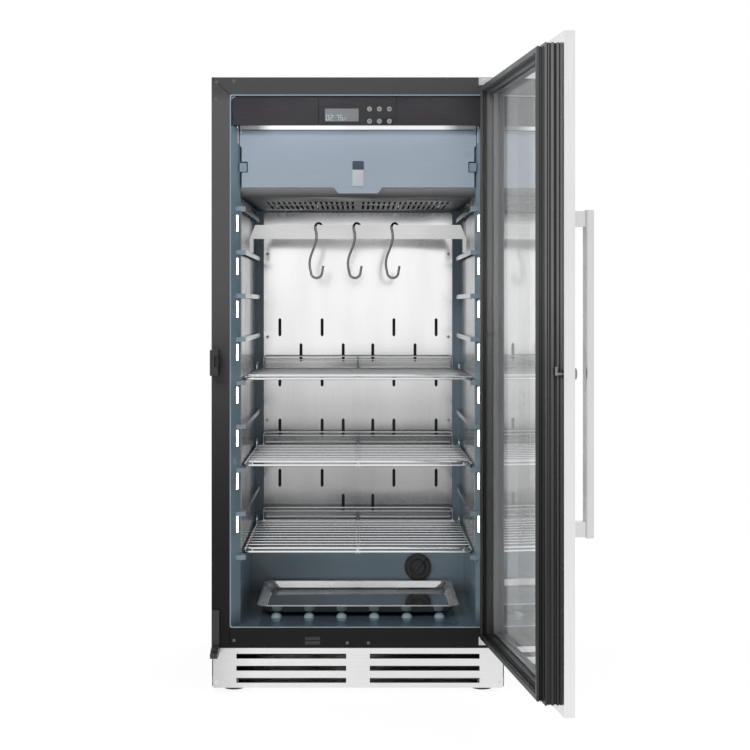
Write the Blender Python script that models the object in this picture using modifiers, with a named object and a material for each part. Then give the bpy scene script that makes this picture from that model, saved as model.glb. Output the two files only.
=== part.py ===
"""Dry aging cabinet with its glass door open, modelled as separate pieces.

Metres, +Z up. X runs to the hinge side, the front faces -Y, and Z is 0 at the
base pan's underside. Depths are measured to the rear from the front frame.
"""

import math

import bmesh
import bpy
from mathutils import Matrix, Vector

# Shared clearances and finish
FIT = 0.0003
OVERRUN = 0.004
WELD = 0.000001
ROUND_SIDES = 16
ROD_SIDES = 5
BORE_SIDES = 24
WIRE_SIDES = 4
FILL_TURN = math.radians(17)
SMOOTH_ANGLE = math.radians(40)

# Body
BODY_WIDTH = 0.595
BODY_DEPTH = 0.640
BODY_TOP = 1.240
FRAME_FOOT = 0.082
SHEET = 0.001
HALF_WIDTH = BODY_WIDTH / 2
FRONT_Y = -BODY_DEPTH / 2

# Front frame
FRAME_DEPTH = 0.014
SIDE_BAR = 0.037
TOP_BAR = 0.035
BOTTOM_BAR = 0.040
BAR_EDGE = 0.0008
OPENING_HALF = HALF_WIDTH - SIDE_BAR
OPENING_LOW = FRAME_FOOT + BOTTOM_BAR
OPENING_HIGH = BODY_TOP - TOP_BAR

# Inner liner and its lead-in bevel
LINER_WALL = 0.002
LEAD_START = 0.0005
LEAD_END = 0.034
LEAD_STEP_SIDE = 0.0172
LEAD_STEP_TOP = 0.0167
REAR_FOAM = 0.058
CHAMBER_DEPTH = BODY_DEPTH - REAR_FOAM
SILL = 0.0002
HUMP_DEPTH = 0.149
HUMP_RISE = 0.1107
MOUTH_HALF = OPENING_HALF - FIT - LINER_WALL
MOUTH_HIGH = OPENING_HIGH - FIT - LINER_WALL
CHAMBER_HALF = MOUTH_HALF - LEAD_STEP_SIDE
FLOOR = OPENING_LOW + FIT + LINER_WALL
CEILING = MOUTH_HIGH - LEAD_STEP_TOP
HUMP_FACE = CHAMBER_DEPTH - HUMP_DEPTH
HUMP_TOP = FLOOR + HUMP_RISE
BEHIND_FRAME = FRAME_DEPTH + FIT
INSIDE_SHELL = HALF_WIDTH - SHEET - FIT
INSIDE_TOP = BODY_TOP - SHEET - FIT
INSIDE_REAR = BODY_DEPTH - SHEET - FIT

# Floor ribs
RIB_COUNT = 6
RIB_INSET = 0.0415
RIB_HALF = 0.011
RIB_RISE = 0.0087
RIB_NOSE = 0.0945
RIB_NOSE_LENGTH = 0.011
RIB_NOSE_SHARES = ((0.0, 0.4), (1.0, 1.0))
RIB_STEPS = 5
RIB_TOP = FLOOR + RIB_RISE

# Shelf levels and runner blocks
LEVEL_COUNT = 9
LEVEL_FIRST = FLOOR + 0.1373
LEVEL_TOP_GAP = 0.0256
BLOCK_HALF_HEIGHT = 0.0045
BLOCK_FRONT = 0.020
BLOCK_REAR = 0.0445
BLOCK_INSET = 0.0115
LUG_HIGH_BELOW = 0.0668
LUG_HEIGHT = 0.018
LUG_INSET = 0.0136
LUG_DEPTH = 0.012
LUG_FRONT = 0.023

# Side racks
RACK_SHEET = 0.001
RACK_FRONT = 0.045
RACK_SHEET_LENGTH = 0.273
LEDGE_REAR_GAP = 0.023
LEDGE_LENGTH = CHAMBER_DEPTH - RACK_FRONT - LEDGE_REAR_GAP
LEDGE_WIDTH = 0.0103
LEDGE_LIP = 0.0095
LEDGE_RISE = 0.00475
RACK_MARGIN = 0.014

# Light strips in the bevel
LED_SHARE = 0.68
LED_COUNT = 8
LED_FIRST = FLOOR + 0.205
LED_TOP_GAP = 0.0298
LED_HALF_HEIGHT = 0.0165
LED_HALF_WIDTH = 0.0034
STRIP_HALF_WIDTH = 0.006
STRIP_THICK = 0.004
STRIP_MARGIN = 0.012

# Control fascia, display and light bar
FASCIA_TOP_GAP = 0.0027
FASCIA_HEIGHT = 0.057
FASCIA_FRONT = 0.005
FASCIA_THICK = 0.015
FASCIA_WALL = 0.002
FASCIA_SHOULDER = 0.026
FASCIA_WAIST = 0.006
FASCIA_CORNER = 0.008
FASCIA_POCKET = 0.022
FASCIA_HIGH = MOUTH_HIGH - FASCIA_TOP_GAP
FASCIA_LOW = FASCIA_HIGH - FASCIA_HEIGHT
FASCIA_HALF = MOUTH_HALF - FIT
FASCIA_REAR = FASCIA_FRONT + FASCIA_THICK
DISPLAY_LEFT = 0.0761
DISPLAY_RIGHT = 0.0745
DISPLAY_HEIGHT = 0.0395
DISPLAY_LIFT = 0.0015
DISPLAY_THICK = 0.0007
BOARD_HALF = 0.088
BOARD_HEIGHT = 0.034
BOARD_THICK = 0.0016
BOARD_POST = 0.003
BOARD_POST_LENGTH = 0.0035
RELAY_SIZE = 0.014
RELAY_DEPTH = 0.006
BAR_LIGHT_HEIGHT = 0.0074
BAR_LIGHT_INSET = 0.018
BAR_LIGHT_FRONT = 0.008
BAR_LIGHT_THICK = 0.012
BAR_LIGHT_HIGH = FASCIA_LOW - FIT
BAR_LIGHT_LOW = BAR_LIGHT_HIGH - BAR_LIGHT_HEIGHT

# Evaporator flap, its clips and latch
FLAP_GAP = 0.0006
FLAP_HEIGHT = 0.1167
FLAP_FRONT = 0.0275
FLAP_THICK = 0.003
FLAP_SIDE_LAP = 0.001
FLAP_HALF = CHAMBER_HALF + FLAP_SIDE_LAP
FLAP_EAR = 0.0307
FLAP_WAIST = 0.004
FLAP_NOTCH_HIGH = 0.0640
FLAP_NOTCH_LOW = 0.0855
FLAP_NOTCH_IN = 0.0172
FLAP_TAB_TOP = 0.049
FLAP_TAB_LOW = 0.0406
FLAP_TAB_DROP = 0.012
FLAP_TOP = BAR_LIGHT_LOW - FLAP_GAP
FLAP_LOW = FLAP_TOP - FLAP_HEIGHT
PIN_DROP = 0.003
PIN_RADIUS = 0.0014
PIN_LENGTH = 0.0065
PIN_CLEARANCE = 0.0003
CORNER_CUT = 0.0065
CLIP_WIDTH = 0.0048
CLIP_HEIGHT = 0.0085
CLIP_DEPTH = 0.005
LATCH_HALF = 0.0117
LATCH_HEIGHT = 0.0515
LATCH_LIFT = 0.0025
LATCH_THICK = 0.002
LATCH_NECK_HALF = 0.0054
LATCH_NECK_LOW = 0.016
LATCH_NECK_HEIGHT = 0.024
LATCH_TRAVEL = 0.008
LATCH_BACK_HALF = 0.009

# Evaporator cover with its slots
COVER_LIP_GAP = 0.001
COVER_DROP = 0.017
COVER_FRONT = 0.034
COVER_SLOPE = 0.026
COVER_SIDE_GAP = 0.0005
COVER_REAR_GAP = 0.007
COVER_REAR = CHAMBER_DEPTH - COVER_REAR_GAP
COVER_COLUMN_COUNT = 17
COVER_SLOT_MARGIN = 0.0455
COVER_SPACING = (CHAMBER_HALF - COVER_SLOT_MARGIN) / COVER_COLUMN_COUNT
COVER_SLOT = 0.005
COVER_FIRST_ROW = (0.223, 0.307)
COVER_SECOND_ROW = (0.353, 0.506)
COVER_TOP = FLAP_LOW - COVER_LIP_GAP
COVER_FLAT = COVER_TOP - COVER_DROP
COVER_SEAT = COVER_FLAT + SHEET + FIT
LEVEL_LAST = COVER_FLAT - LEVEL_TOP_GAP
LEVEL_SPACING = (LEVEL_LAST - LEVEL_FIRST) / (LEVEL_COUNT - 1)
LED_LAST = LEVEL_LAST - LED_TOP_GAP
LED_SPACING = (LED_LAST - LED_FIRST) / (LED_COUNT - 1)

# Evaporator coil and its fan
COIL_FIN_COUNT = 13
COIL_SIDE_GAP = 0.056
COIL_HALF = CHAMBER_HALF - COIL_SIDE_GAP
COIL_REAR_GAP = 0.105
COIL_DEPTH = 0.135
COIL_REAR = COVER_REAR - COIL_REAR_GAP
COIL_FRONT = COIL_REAR - COIL_DEPTH
COIL_HEIGHT = 0.095
FIN_THICK = 0.0018
FIN_SPINE = 0.003
BEND_RADIUS = 0.012
BEND_TUBE = 0.004
BEND_STEPS = 4
COIL_BEND_COUNT = 2
FAN_FRONT = 0.190
FAN_FRAME_HALF = 0.052
FAN_FRAME_DEPTH = 0.026
FAN_BORE = 0.047
FAN_TIP = 0.0445
FAN_HUB = 0.015
FAN_HUB_START = 0.002
FAN_HUB_LENGTH = 0.018
BLADE_COUNT = 5
BLADE_CHORD = 0.019
BLADE_THICK = 0.0015
BLADE_PITCH = math.radians(32)
SHAFT_RADIUS = 0.002
SHAFT_ENGAGED = 0.012
MOTOR_RADIUS = 0.015
MOTOR_LENGTH = 0.022
STRUT_WIDTH = 0.005
STRUT_DEPTH = 0.003
STRUT_SHARES = (1, 0.8)

# Perforated back panel
PANEL_SIDE_GAP = 0.018
PANEL_HALF = CHAMBER_HALF - PANEL_SIDE_GAP
PANEL_LOW_GAP = 0.005
PANEL_TOP_GAP = 0.004
PANEL_CORNER = 0.006
PANEL_FIRST_ROW = 0.069
PANEL_ROW_SPACING = 0.0594
PANEL_FIRST_COLUMN = 0.035
PANEL_COLUMN_COUNT = 4
PANEL_COLUMN_EDGE = 0.038
PANEL_COLUMN_SPACING = (PANEL_HALF - PANEL_COLUMN_EDGE - PANEL_FIRST_COLUMN) / (PANEL_COLUMN_COUNT - 1)
PANEL_SLOT_LENGTH = 0.0445
PANEL_SLOT_WIDTH = 0.007
PANEL_COLUMN_STEPS = ((0,), (1, 3), (), (0, 1, 3), (), (1, 3), (0, 2), (1, 3))

# Hanging bar and hooks
BAR_LEVEL_COUNT = 7
BAR_DEPTH = 0.224
BAR_THICK = 0.004
BAR_HEIGHT = 0.030
BAR_SIDE_GAP = 0.007
BAR_TAPER = 0.012
BAR_LOW_HALF = CHAMBER_HALF - BAR_SIDE_GAP
BAR_TOP_HALF = BAR_LOW_HALF - BAR_TAPER
BAR_LEG = 0.008
BAR_LEG_HEIGHT = 0.030
BAR_FOOT_WIDTH = 0.0075
BAR_FOOT_THICK = 0.003
BAR_FOOT_HALF = 0.020
HOOK_PLACE_SHARES = (-0.383, -0.0104, 0.3577)
HOOK_WIRE = 0.0025
HOOK_LOOP = 0.0105
HOOK_TURN = math.radians(45)
HOOK_HANG = 0.0066
HOOK_REAR_DROP = 0.0045
HOOK_SHANK = 0.096
HOOK_SLANT = 0.009
HOOK_BOWL = 0.012
HOOK_TIP = 0.014
HOOK_STEPS = 6

# Wire shelves
SHELF_LEVEL_STEPS = (("shelf_upper", 4), ("shelf_middle", 2), ("shelf_lower", 0))
SHELF_SIDE_GAP = 0.006
SHELF_HALF = CHAMBER_HALF - SHELF_SIDE_GAP
SHELF_FRONT = 0.0525
SHELF_REAR_GAP = 0.0265
SHELF_REAR = CHAMBER_DEPTH - SHELF_REAR_GAP
SHELF_CORNER = 0.012
SHELF_ROD = 0.0025
SHELF_WIRE = 0.002
SHELF_WIRE_LIFT = 0.0032
SHELF_WIRE_COUNT = 11
SHELF_SUPPORT = 0.0035
SHELF_SUPPORT_ROD = 0.0022
SHELF_SUPPORT_DROP = 0.0014
SHELF_RAIL_LIFT = 0.0075
GUARD_INSET = 0.013
GUARD_HALF = SHELF_HALF - GUARD_INSET
GUARD_HIGH = 0.0315
GUARD_MIDDLE = 0.0235
SIDE_LOOP_REAR_GAP = 0.0655
SIDE_LOOP_FRONT = SHELF_REAR - SIDE_LOOP_REAR_GAP
SIDE_LOOP_LENGTH = 0.036
SIDE_LOOP_HIGH = 0.018

# Drip tray
TRAY_SIDE_GAP = 0.029
TRAY_HALF = CHAMBER_HALF - TRAY_SIDE_GAP
RIB_SPACING = 2 * (TRAY_HALF - RIB_INSET) / (RIB_COUNT - 1)
TRAY_FRONT = 0.089
TRAY_REAR_GAP = 0.014
TRAY_LENGTH = HUMP_FACE - TRAY_FRONT - TRAY_REAR_GAP
TRAY_HEIGHT = 0.0187
TRAY_RIM = 0.006
TRAY_RIM_THICK = 0.002
TRAY_WALL = 0.0015
TRAY_CORNER = 0.022

# Charcoal filter
FILTER_FROM_WALL = 0.105
FILTER_X = CHAMBER_HALF - FILTER_FROM_WALL
FILTER_RISE = 0.0567
FILTER_CAP = 0.0303
FILTER_CAP_DEPTH = 0.0067
FILTER_RING = 0.0176
FILTER_RING_DEPTH = 0.0035
FILTER_RIM = 0.003
FILTER_GRIP_HALF = 0.0045
FILTER_GRIP_RISE = 0.004
FILTER_GRIP_TURN = math.radians(40)
FILTER_DUCT = 0.0262
FILTER_BORE = 0.020
FILTER_BOSS_LENGTH = 0.014
FILTER_Z = FLOOR + FILTER_RISE

# Machine space
MACHINE_WALL = 0.030
MACHINE_FRONT = HUMP_FACE + MACHINE_WALL
MACHINE_TOP = HUMP_TOP - MACHINE_WALL
PAN_SHEET = 0.0015
PAN_FLANGE = 0.020
NUT_RADIUS = 0.010
NUT_HEIGHT = 0.008
PAN_TOP = PAN_SHEET + FIT
COMPRESSOR_FROM_SIDE = 0.1675
COMPRESSOR_X = HALF_WIDTH - COMPRESSOR_FROM_SIDE
COMPRESSOR_GAP = 0.019
COMPRESSOR_RADIUS = 0.070
COMPRESSOR_DEPTH = MACHINE_FRONT + COMPRESSOR_GAP + COMPRESSOR_RADIUS
COMPRESSOR_LOW = 0.024
COMPRESSOR_HIGH = 0.160
COMPRESSOR_SHARES = (
    (0.0, 1.0),
    (0.42, 0.99),
    (0.76, 0.88),
    (0.94, 0.70),
    (0.97, 0.46),
    (1.0, 0.45),
    (1.0, 0.41),
    (0.97, 0.40),
    (0.94, 0.16),
    (0.72, 0.02),
    (0.0, 0.0),
)
COMPRESSOR_PLATE_X = 0.068
COMPRESSOR_PLATE_Y = 0.046
COMPRESSOR_PLATE_THICK = 0.005
GROMMET_RADIUS = 0.009
TERMINAL_HALF = 0.022
TERMINAL_DEPTH = 0.080
BOWL_HALF_X = 0.058
BOWL_HALF_Y = 0.045
BOWL_HEIGHT = 0.020
BOWL_WALL = 0.002
DRAIN_BEHIND = 0.008
DRAIN_DEPTH = COMPRESSOR_DEPTH + DRAIN_BEHIND
DRAIN_RADIUS = 0.006
DRAIN_BORE = 0.0042
DRAIN_ABOVE_PAN = 0.010
CONDENSER_SIDE_GAP = 0.0575
CONDENSER_LEFT = -HALF_WIDTH + CONDENSER_SIDE_GAP
CONDENSER_WIDTH = 0.122
CONDENSER_FIN_COUNT = 8
CONDENSER_GAP = 0.027
CONDENSER_REAR_GAP = 0.040
CONDENSER_FRONT = MACHINE_FRONT + CONDENSER_GAP
CONDENSER_REAR = BODY_DEPTH - CONDENSER_REAR_GAP
CONDENSER_HEIGHT = 0.135
SHROUD_GAP = 0.006
SHROUD_LEFT = CONDENSER_LEFT + CONDENSER_WIDTH + SHROUD_GAP
SHROUD_HALF = 0.060
SHROUD_HEIGHT = 0.135
SHROUD_BORE = 0.0555
CONDENSER_FAN_TIP = 0.053
VENT_COUNT = 14
VENT_SPACING = 0.030
VENT_WIDTH = 0.006
VENT_HEIGHT = 0.080
VENT_LOW = 0.070
CORD_SIDE_GAP = 0.0675
CORD_X = -HALF_WIDTH + CORD_SIDE_GAP
CORD_Z = 0.042
CORD_HOLE = 0.008
GLAND_RADIUS = 0.0125
GLAND_DEPTH = 0.0042
GLAND_BORE = 0.004

# Plinth grille and feet
GRILLE_FRONT = 0.002
GRILLE_SHEET = 0.0015
GRILLE_HALF = HALF_WIDTH - 0.003
GRILLE_GAP = 0.0015
GRILLE_RETURN = 0.012
GRILLE_SLOT_IN = 0.024
GRILLE_SLOT_MARGIN = 0.0475
GRILLE_SLOT_OUT = GRILLE_HALF - GRILLE_SLOT_MARGIN
GRILLE_SLOT_HEIGHT = 0.010
GRILLE_SLOT_LOW = 0.010
GRILLE_SLOT_SPACING = 0.0245
GRILLE_ROW_COUNT = 3
FOOT_SIDE_GAP = 0.0425
FOOT_X = HALF_WIDTH - FOOT_SIDE_GAP
FOOT_FRONT = 0.050
FOOT_REAR_GAP = 0.045
FOOT_PAD = 0.020
FOOT_STUD = 0.005
FOOT_DROP = 0.010
FOOT_RISE = 0.016
FOOT_SHOULDER_SHARE = 0.4
FOOT_RIM_SHARE = 0.6

# Door, measured from its hinge edge and from its inner profile's face
DOOR_OPEN = math.radians(96)
DOOR_GAP = 0.014
DOOR_LOW = FRAME_FOOT
DOOR_HIGH = BODY_TOP
PROFILE_INSET = 0.0173
PROFILE_DEPTH = 0.029
PROFILE_FACE = 0.020
PROFILE_REBATE = 0.012
GLASS_INSET = 0.010
GLASS_THICK = 0.004
DOOR_SHEET_DEPTH = 0.019
DOOR_SHEET_LIP = 0.004
DOOR_WINDOW = 0.040
DOOR_REBATE = 0.028
SPACER_WIDTH = 0.011
GASKET_INSET = 0.006
GASKET_WIDTH = 0.012
GASKET_THICK = 0.0132
PIVOT_ACROSS = 0.0233
PIVOT_OUT = 0.016
DOOR_OUTER = PROFILE_DEPTH + DOOR_SHEET_DEPTH
SKID_FROM_EDGE = 0.138
SKID_ACROSS = BODY_WIDTH - SKID_FROM_EDGE
SKID_HALF = 0.023
SKID_DROP = 0.009
SKID_TAPER = 0.006
SKID_BACK = 0.008
SKID_DEPTH = 0.014
PIVOT = Vector((HALF_WIDTH - PIVOT_ACROSS, FRONT_Y - DOOR_GAP - PIVOT_OUT, 0))

# Hinge brackets
HINGE_SHEET = 0.0018
HINGE_WIDTH = 0.041
HINGE_SIDE_GAP = 0.0115
HINGE_OUT = HALF_WIDTH - HINGE_SIDE_GAP
HINGE_IN = HINGE_OUT - HINGE_WIDTH
HINGE_HEIGHT = 0.0163
HINGE_ARM_WIDTH = 0.0215
HINGE_ARM_STEP = 0.0065
HINGE_ARM_OUT = HINGE_OUT - HINGE_ARM_STEP
HINGE_ARM_IN = HINGE_ARM_OUT - HINGE_ARM_WIDTH
HINGE_ARM_THICK = 0.0035
HINGE_ARM_REACH = 0.038
HINGE_GAP = 0.001
HINGE_PIN = 0.004
HINGE_PIN_CLEARANCE = 0.0004
HINGE_PIN_LENGTH = 0.0085
HINGE_LOW_DROP = 0.0075
HINGE_ROOT_SHARE = 0.7

# Handle
HANDLE_LOW = 0.381
HANDLE_LENGTH = 0.558
HANDLE_FROM_EDGE = 0.030
HANDLE_ACROSS = BODY_WIDTH - HANDLE_FROM_EDGE
HANDLE_HALF = 0.0135
HANDLE_THICK = 0.014
HANDLE_REACH = 0.037
HANDLE_POST_HALF = 0.009
HANDLE_POST_TALL = 0.0286
HANDLE_EDGE = 0.002

# Lock, its strike and the door support
LOCK_Z = 0.661
LOCK_FROM_EDGE = 0.013
LOCK_ACROSS = BODY_WIDTH - LOCK_FROM_EDGE
LOCK_COLLAR = 0.00975
LOCK_COLLAR_THICK = 0.004
LOCK_BARREL = 0.008
LOCK_SHAFT = 0.0026
LOCK_CAM_START = 0.016
LOCK_CAM_THICK = 0.004
LOCK_CAM_LENGTH = 0.012
LOCK_CAM_HALF = 0.0027
LOCK_SLOT_HALF = 0.0006
STRIKE_HALF_HEIGHT = 0.0257
STRIKE_REACH = 0.041
STRIKE_IN = HALF_WIDTH - 0.0163
STRIKE_PASS = 0.008
STRIKE_POCKET = 0.0165
STRIKE_PLAY = 0.002
RAMP_HIGH = 0.158
RAMP_LOW = 0.070
RAMP_REACH = 0.058
RAMP_OUT = HALF_WIDTH - 0.0015
RAMP_BACK_SHARE = 0.07
RAMP_LIP = 0.0105


def new_collection(name):
    made = bpy.data.collections.new(name)
    bpy.context.scene.collection.children.link(made)
    return made


for old in list(bpy.data.objects):
    bpy.data.objects.remove(old, do_unlink=True)

PARTS = new_collection("dry_aging_cabinet")
CUTTERS = new_collection("cutters")


def material(name, colour, roughness, metallic=0.0, transmission=0.0):
    made = bpy.data.materials.new(name)
    made.use_nodes = True
    shader = made.node_tree.nodes["Principled BSDF"]
    shader.inputs["Base Color"].default_value = (*colour, 1)
    shader.inputs["Roughness"].default_value = roughness
    shader.inputs["Metallic"].default_value = metallic
    shader.inputs["Transmission Weight"].default_value = transmission
    return made


STAINLESS = material("stainless", (0.72, 0.73, 0.73), 0.28, 1.0)
GALVANISED = material("galvanised", (0.62, 0.63, 0.64), 0.4, 1.0)
CHROME = material("chrome_wire", (0.78, 0.79, 0.80), 0.12, 1.0)
ALUMINIUM = material("aluminium", (0.70, 0.71, 0.72), 0.35, 1.0)
BLACK_PAINT = material("black_paint", (0.02, 0.02, 0.022), 0.45)
BLACK_PLASTIC = material("black_plastic", (0.03, 0.03, 0.032), 0.5)
LINER_PLASTIC = material("liner_plastic", (0.26, 0.33, 0.37), 0.4)
FLAP_PLASTIC = material("flap_plastic", (0.38, 0.44, 0.49), 0.42)
DARK_METAL = material("dark_fascia", (0.07, 0.068, 0.075), 0.35, 0.6)
DISPLAY_GLOSS = material("display_gloss", (0.01, 0.01, 0.012), 0.1)
LENS = material("light_lens", (0.85, 0.9, 0.95), 0.3)
FOAM = material("foam", (0.75, 0.68, 0.48), 0.9)
RUBBER = material("rubber", (0.12, 0.12, 0.125), 0.7)
GLASS = material("glass", (0.9, 0.95, 0.95), 0.03, 0.0, 1.0)
BOARD_GREEN = material("board", (0.02, 0.13, 0.06), 0.5)


def finished(form):
    """The mesh of a form, welded and with its faces pointing out."""
    bmesh.ops.remove_doubles(form, verts=form.verts, dist=WELD)
    bmesh.ops.recalc_face_normals(form, faces=form.faces)
    mesh = bpy.data.meshes.new("form")
    form.to_mesh(mesh)
    form.free()
    return mesh


def add_box(form, x, depth, z):
    size = (x[1] - x[0], depth[1] - depth[0], z[1] - z[0], 1)
    middle = (sum(x) / 2, FRONT_Y + sum(depth) / 2, sum(z) / 2)
    place = Matrix.Translation(middle) @ Matrix.Diagonal(size)
    bmesh.ops.create_cube(form, size=1, matrix=place)


def boxes(*extents):
    """Boxes that stand clear of each other, each from its X, depth and Z limits."""
    form = bmesh.new()
    for extent in extents:
        add_box(form, *extent)
    return finished(form)


def add_rod(form, start, end, radius, sides=ROD_SIDES):
    run = Vector(end) - Vector(start)
    turn = run.to_track_quat("Z", "Y").to_matrix().to_4x4()
    place = Matrix.Translation((Vector(start) + Vector(end)) / 2) @ turn
    bmesh.ops.create_cone(form, cap_ends=True, segments=sides, radius1=radius,
                          radius2=radius, depth=run.length, matrix=place)


def at(x, depth, z):
    return Vector((x, FRONT_Y + depth, z))


def rods(runs, radius, sides=ROD_SIDES):
    """Straight rods that stand clear of each other."""
    form = bmesh.new()
    for start, end in runs:
        add_rod(form, at(*start), at(*end), radius, sides)
    return finished(form)


def hull(points):
    form = bmesh.new()
    for point in points:
        form.verts.new(point)
    made = bmesh.ops.convex_hull(form, input=form.verts)
    spare = [item for item in made["geom_interior"] if isinstance(item, bmesh.types.BMVert)]
    bmesh.ops.delete(form, geom=spare, context="VERTS")
    return finished(form)


def curve_mesh(curve):
    """A curve's closed mesh; the curve itself is removed."""
    holder = bpy.data.objects.new("guide", curve)
    CUTTERS.objects.link(holder)
    graph = bpy.context.evaluated_depsgraph_get()
    mesh = bpy.data.meshes.new_from_object(holder.evaluated_get(graph))
    mesh.transform(holder.matrix_world)
    bpy.data.objects.remove(holder, do_unlink=True)
    form = bmesh.new()
    form.from_mesh(mesh)
    return form


def plate(outlines, plane, low, high):
    """A flat outline with its holes, thickened from low to high across its plane.

    The outline is filled at a slant, so that no two of its points share a height.
    """
    curve = bpy.data.curves.new("outline", "CURVE")
    curve.dimensions = "2D"
    curve.fill_mode = "BOTH"
    curve.extrude = (high - low) / 2
    slant = Matrix.Rotation(FILL_TURN, 4, "Z")
    for outline in outlines:
        spline = curve.splines.new("POLY")
        spline.points.add(len(outline) - 1)
        spline.use_cyclic_u = True
        for point, (first, second) in zip(spline.points, outline):
            point.co = (*(slant @ Vector((first, second, 0))), 1)
    middle = (low + high) / 2
    rows = {
        "front": ((1, 0, 0, 0), (0, 0, 1, FRONT_Y + middle), (0, 1, 0, 0), (0, 0, 0, 1)),
        "side": ((0, 0, 1, middle), (1, 0, 0, FRONT_Y), (0, 1, 0, 0), (0, 0, 0, 1)),
        "top": ((1, 0, 0, 0), (0, 1, 0, FRONT_Y), (0, 0, 1, middle), (0, 0, 0, 1)),
    }
    form = curve_mesh(curve)
    form.transform(Matrix(rows[plane]) @ slant.inverted())
    return finished(form)


def tube(points, radius, closed=False):
    curve = bpy.data.curves.new("wire", "CURVE")
    curve.dimensions = "3D"
    curve.bevel_depth = radius
    curve.bevel_resolution = 1
    curve.use_fill_caps = True
    spline = curve.splines.new("POLY")
    spline.points.add(len(points) - 1)
    spline.use_cyclic_u = closed
    for point, place in zip(spline.points, points):
        point.co = (*at(*place), 1)
    return finished(curve_mesh(curve))


def gathered(meshes):
    """Several meshes that stand clear of each other as one mesh."""
    form = bmesh.new()
    for mesh in meshes:
        form.from_mesh(mesh)
    return finished(form)


def moved(mesh, offset):
    copy = mesh.copy()
    copy.transform(Matrix.Translation(offset))
    return copy


def rectangle(left, right, low, high):
    return [(left, low), (right, low), (right, high), (left, high)]


def rounded(left, right, low, high, radius, steps=3):
    """A rectangle's outline with round corners."""
    outline = []
    corners = ((right, high, 0), (left, high, 1), (left, low, 2), (right, low, 3))
    for across, up, quarter in corners:
        centre_across = across - math.copysign(radius, across - (left + right) / 2)
        centre_up = up - math.copysign(radius, up - (low + high) / 2)
        for step in range(steps + 1):
            angle = (quarter + step / steps) * math.pi / 2
            point = (centre_across + radius * math.cos(angle), centre_up + radius * math.sin(angle))
            outline.append(point)
    return outline


def round_slot(left, right, low, high, steps=3):
    """A slot's outline with half-round ends."""
    radius = (high - low) / 2
    outline = []
    for centre, start in ((right - radius, -1), (left + radius, 1)):
        for step in range(steps + 1):
            angle = (start / 2 + step / steps) * math.pi
            outline.append((centre + radius * math.cos(angle), low + radius + radius * math.sin(angle)))
    return outline


def shade_round(mesh):
    mesh.shade_smooth()
    mesh.set_sharp_from_angle(angle=SMOOTH_ANGLE)


def add_piece(name, mesh, slot, origin=(0, 0, 0), parent=None, parent_origin=(0, 0, 0)):
    """A named piece whose mesh is given in place and whose origin is its own."""
    mesh.transform(Matrix.Translation(-Vector(origin)))
    mesh.name = name
    mesh.materials.clear()
    mesh.materials.append(slot)
    made = bpy.data.objects.new(name, mesh)
    PARTS.objects.link(made)
    made.parent = parent
    made.location = Vector(origin) - Vector(parent_origin)
    made["origin"] = origin
    return made


def combine(piece, operation, *meshes):
    """Joins meshes to a piece or cuts them from it; each keeps its guide object."""
    for mesh in meshes:
        mesh.transform(Matrix.Translation(-Vector(piece["origin"])))
        guide = bpy.data.objects.new(f"{piece.name}_{operation.lower()}", mesh)
        CUTTERS.objects.link(guide)
        guide.parent = piece
        guide.hide_render = True
        guide.display_type = "WIRE"
        step = piece.modifiers.new(guide.name, "BOOLEAN")
        step.operation = operation
        step.solver = "EXACT"
        step.object = guide


def join(piece, *meshes):
    combine(piece, "UNION", *meshes)


def cut(piece, *meshes):
    combine(piece, "DIFFERENCE", *meshes)


def bevel(piece, width, segments=1):
    step = piece.modifiers.new("edge", "BEVEL")
    step.width = width
    step.segments = segments
    step.limit_method = "ANGLE"


def turned(name, profile, slot, origin):
    """A profile, from its outer side's top to bottom, turned round the Z axis."""
    form = bmesh.new()
    points = [form.verts.new((radius, 0, height)) for radius, height in profile]
    for first, second in zip(points, points[1:]):
        form.edges.new((first, second))
    mesh = bpy.data.meshes.new(name)
    form.to_mesh(mesh)
    form.free()
    made = add_piece(name, mesh, slot)
    made.location = origin
    made["origin"] = origin
    step = made.modifiers.new("turn", "SCREW")
    step.steps = ROUND_SIDES
    step.render_steps = ROUND_SIDES
    step.use_merge_vertices = True
    step.merge_threshold = 0.00001
    step.use_smooth_shade = True
    return made


def level_height(level):
    return LEVEL_FIRST + LEVEL_SPACING * level


# The chamber, as solids that a piece is cut by or made from


def mouth_solid(offset, front):
    """The lead-in from the mouth to the chamber's section, grown by an offset."""
    slope_side = LEAD_STEP_SIDE / (LEAD_END - LEAD_START)
    slope_top = LEAD_STEP_TOP / (LEAD_END - LEAD_START)
    points = []
    for depth in (front, LEAD_END + LINER_WALL):
        half = MOUTH_HALF - slope_side * (depth - LEAD_START) + offset
        top = MOUTH_HIGH - slope_top * (depth - LEAD_START) + offset
        for x in (-half, half):
            points.append(at(x, depth, FLOOR + SILL - offset))
            points.append(at(x, depth, top))
    return hull(points)


def chamber_solid(offset):
    """The chamber behind the lead-in, with the step over the machine space."""
    front = LEAD_END - SHEET
    outline = [
        (front, FLOOR - offset),
        (HUMP_FACE + offset, FLOOR - offset),
        (HUMP_FACE + offset, HUMP_TOP - offset),
        (CHAMBER_DEPTH + offset, HUMP_TOP - offset),
        (CHAMBER_DEPTH + offset, CEILING + offset),
        (front, CEILING + offset),
    ]
    half = CHAMBER_HALF + offset
    return plate([outline], "side", -half, half)


def fascia_pocket(offset):
    """The step in the bevel that the fascia sits in."""
    x = (-MOUTH_HALF - offset, MOUTH_HALF + offset)
    depth = (LEAD_START + SHEET, FASCIA_POCKET + offset)
    return boxes((x, depth, (FASCIA_LOW - SHEET - offset, MOUTH_HIGH + offset)))


def chamber_solids(offset, front):
    return mouth_solid(offset, front), chamber_solid(offset), fascia_pocket(offset)


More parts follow.
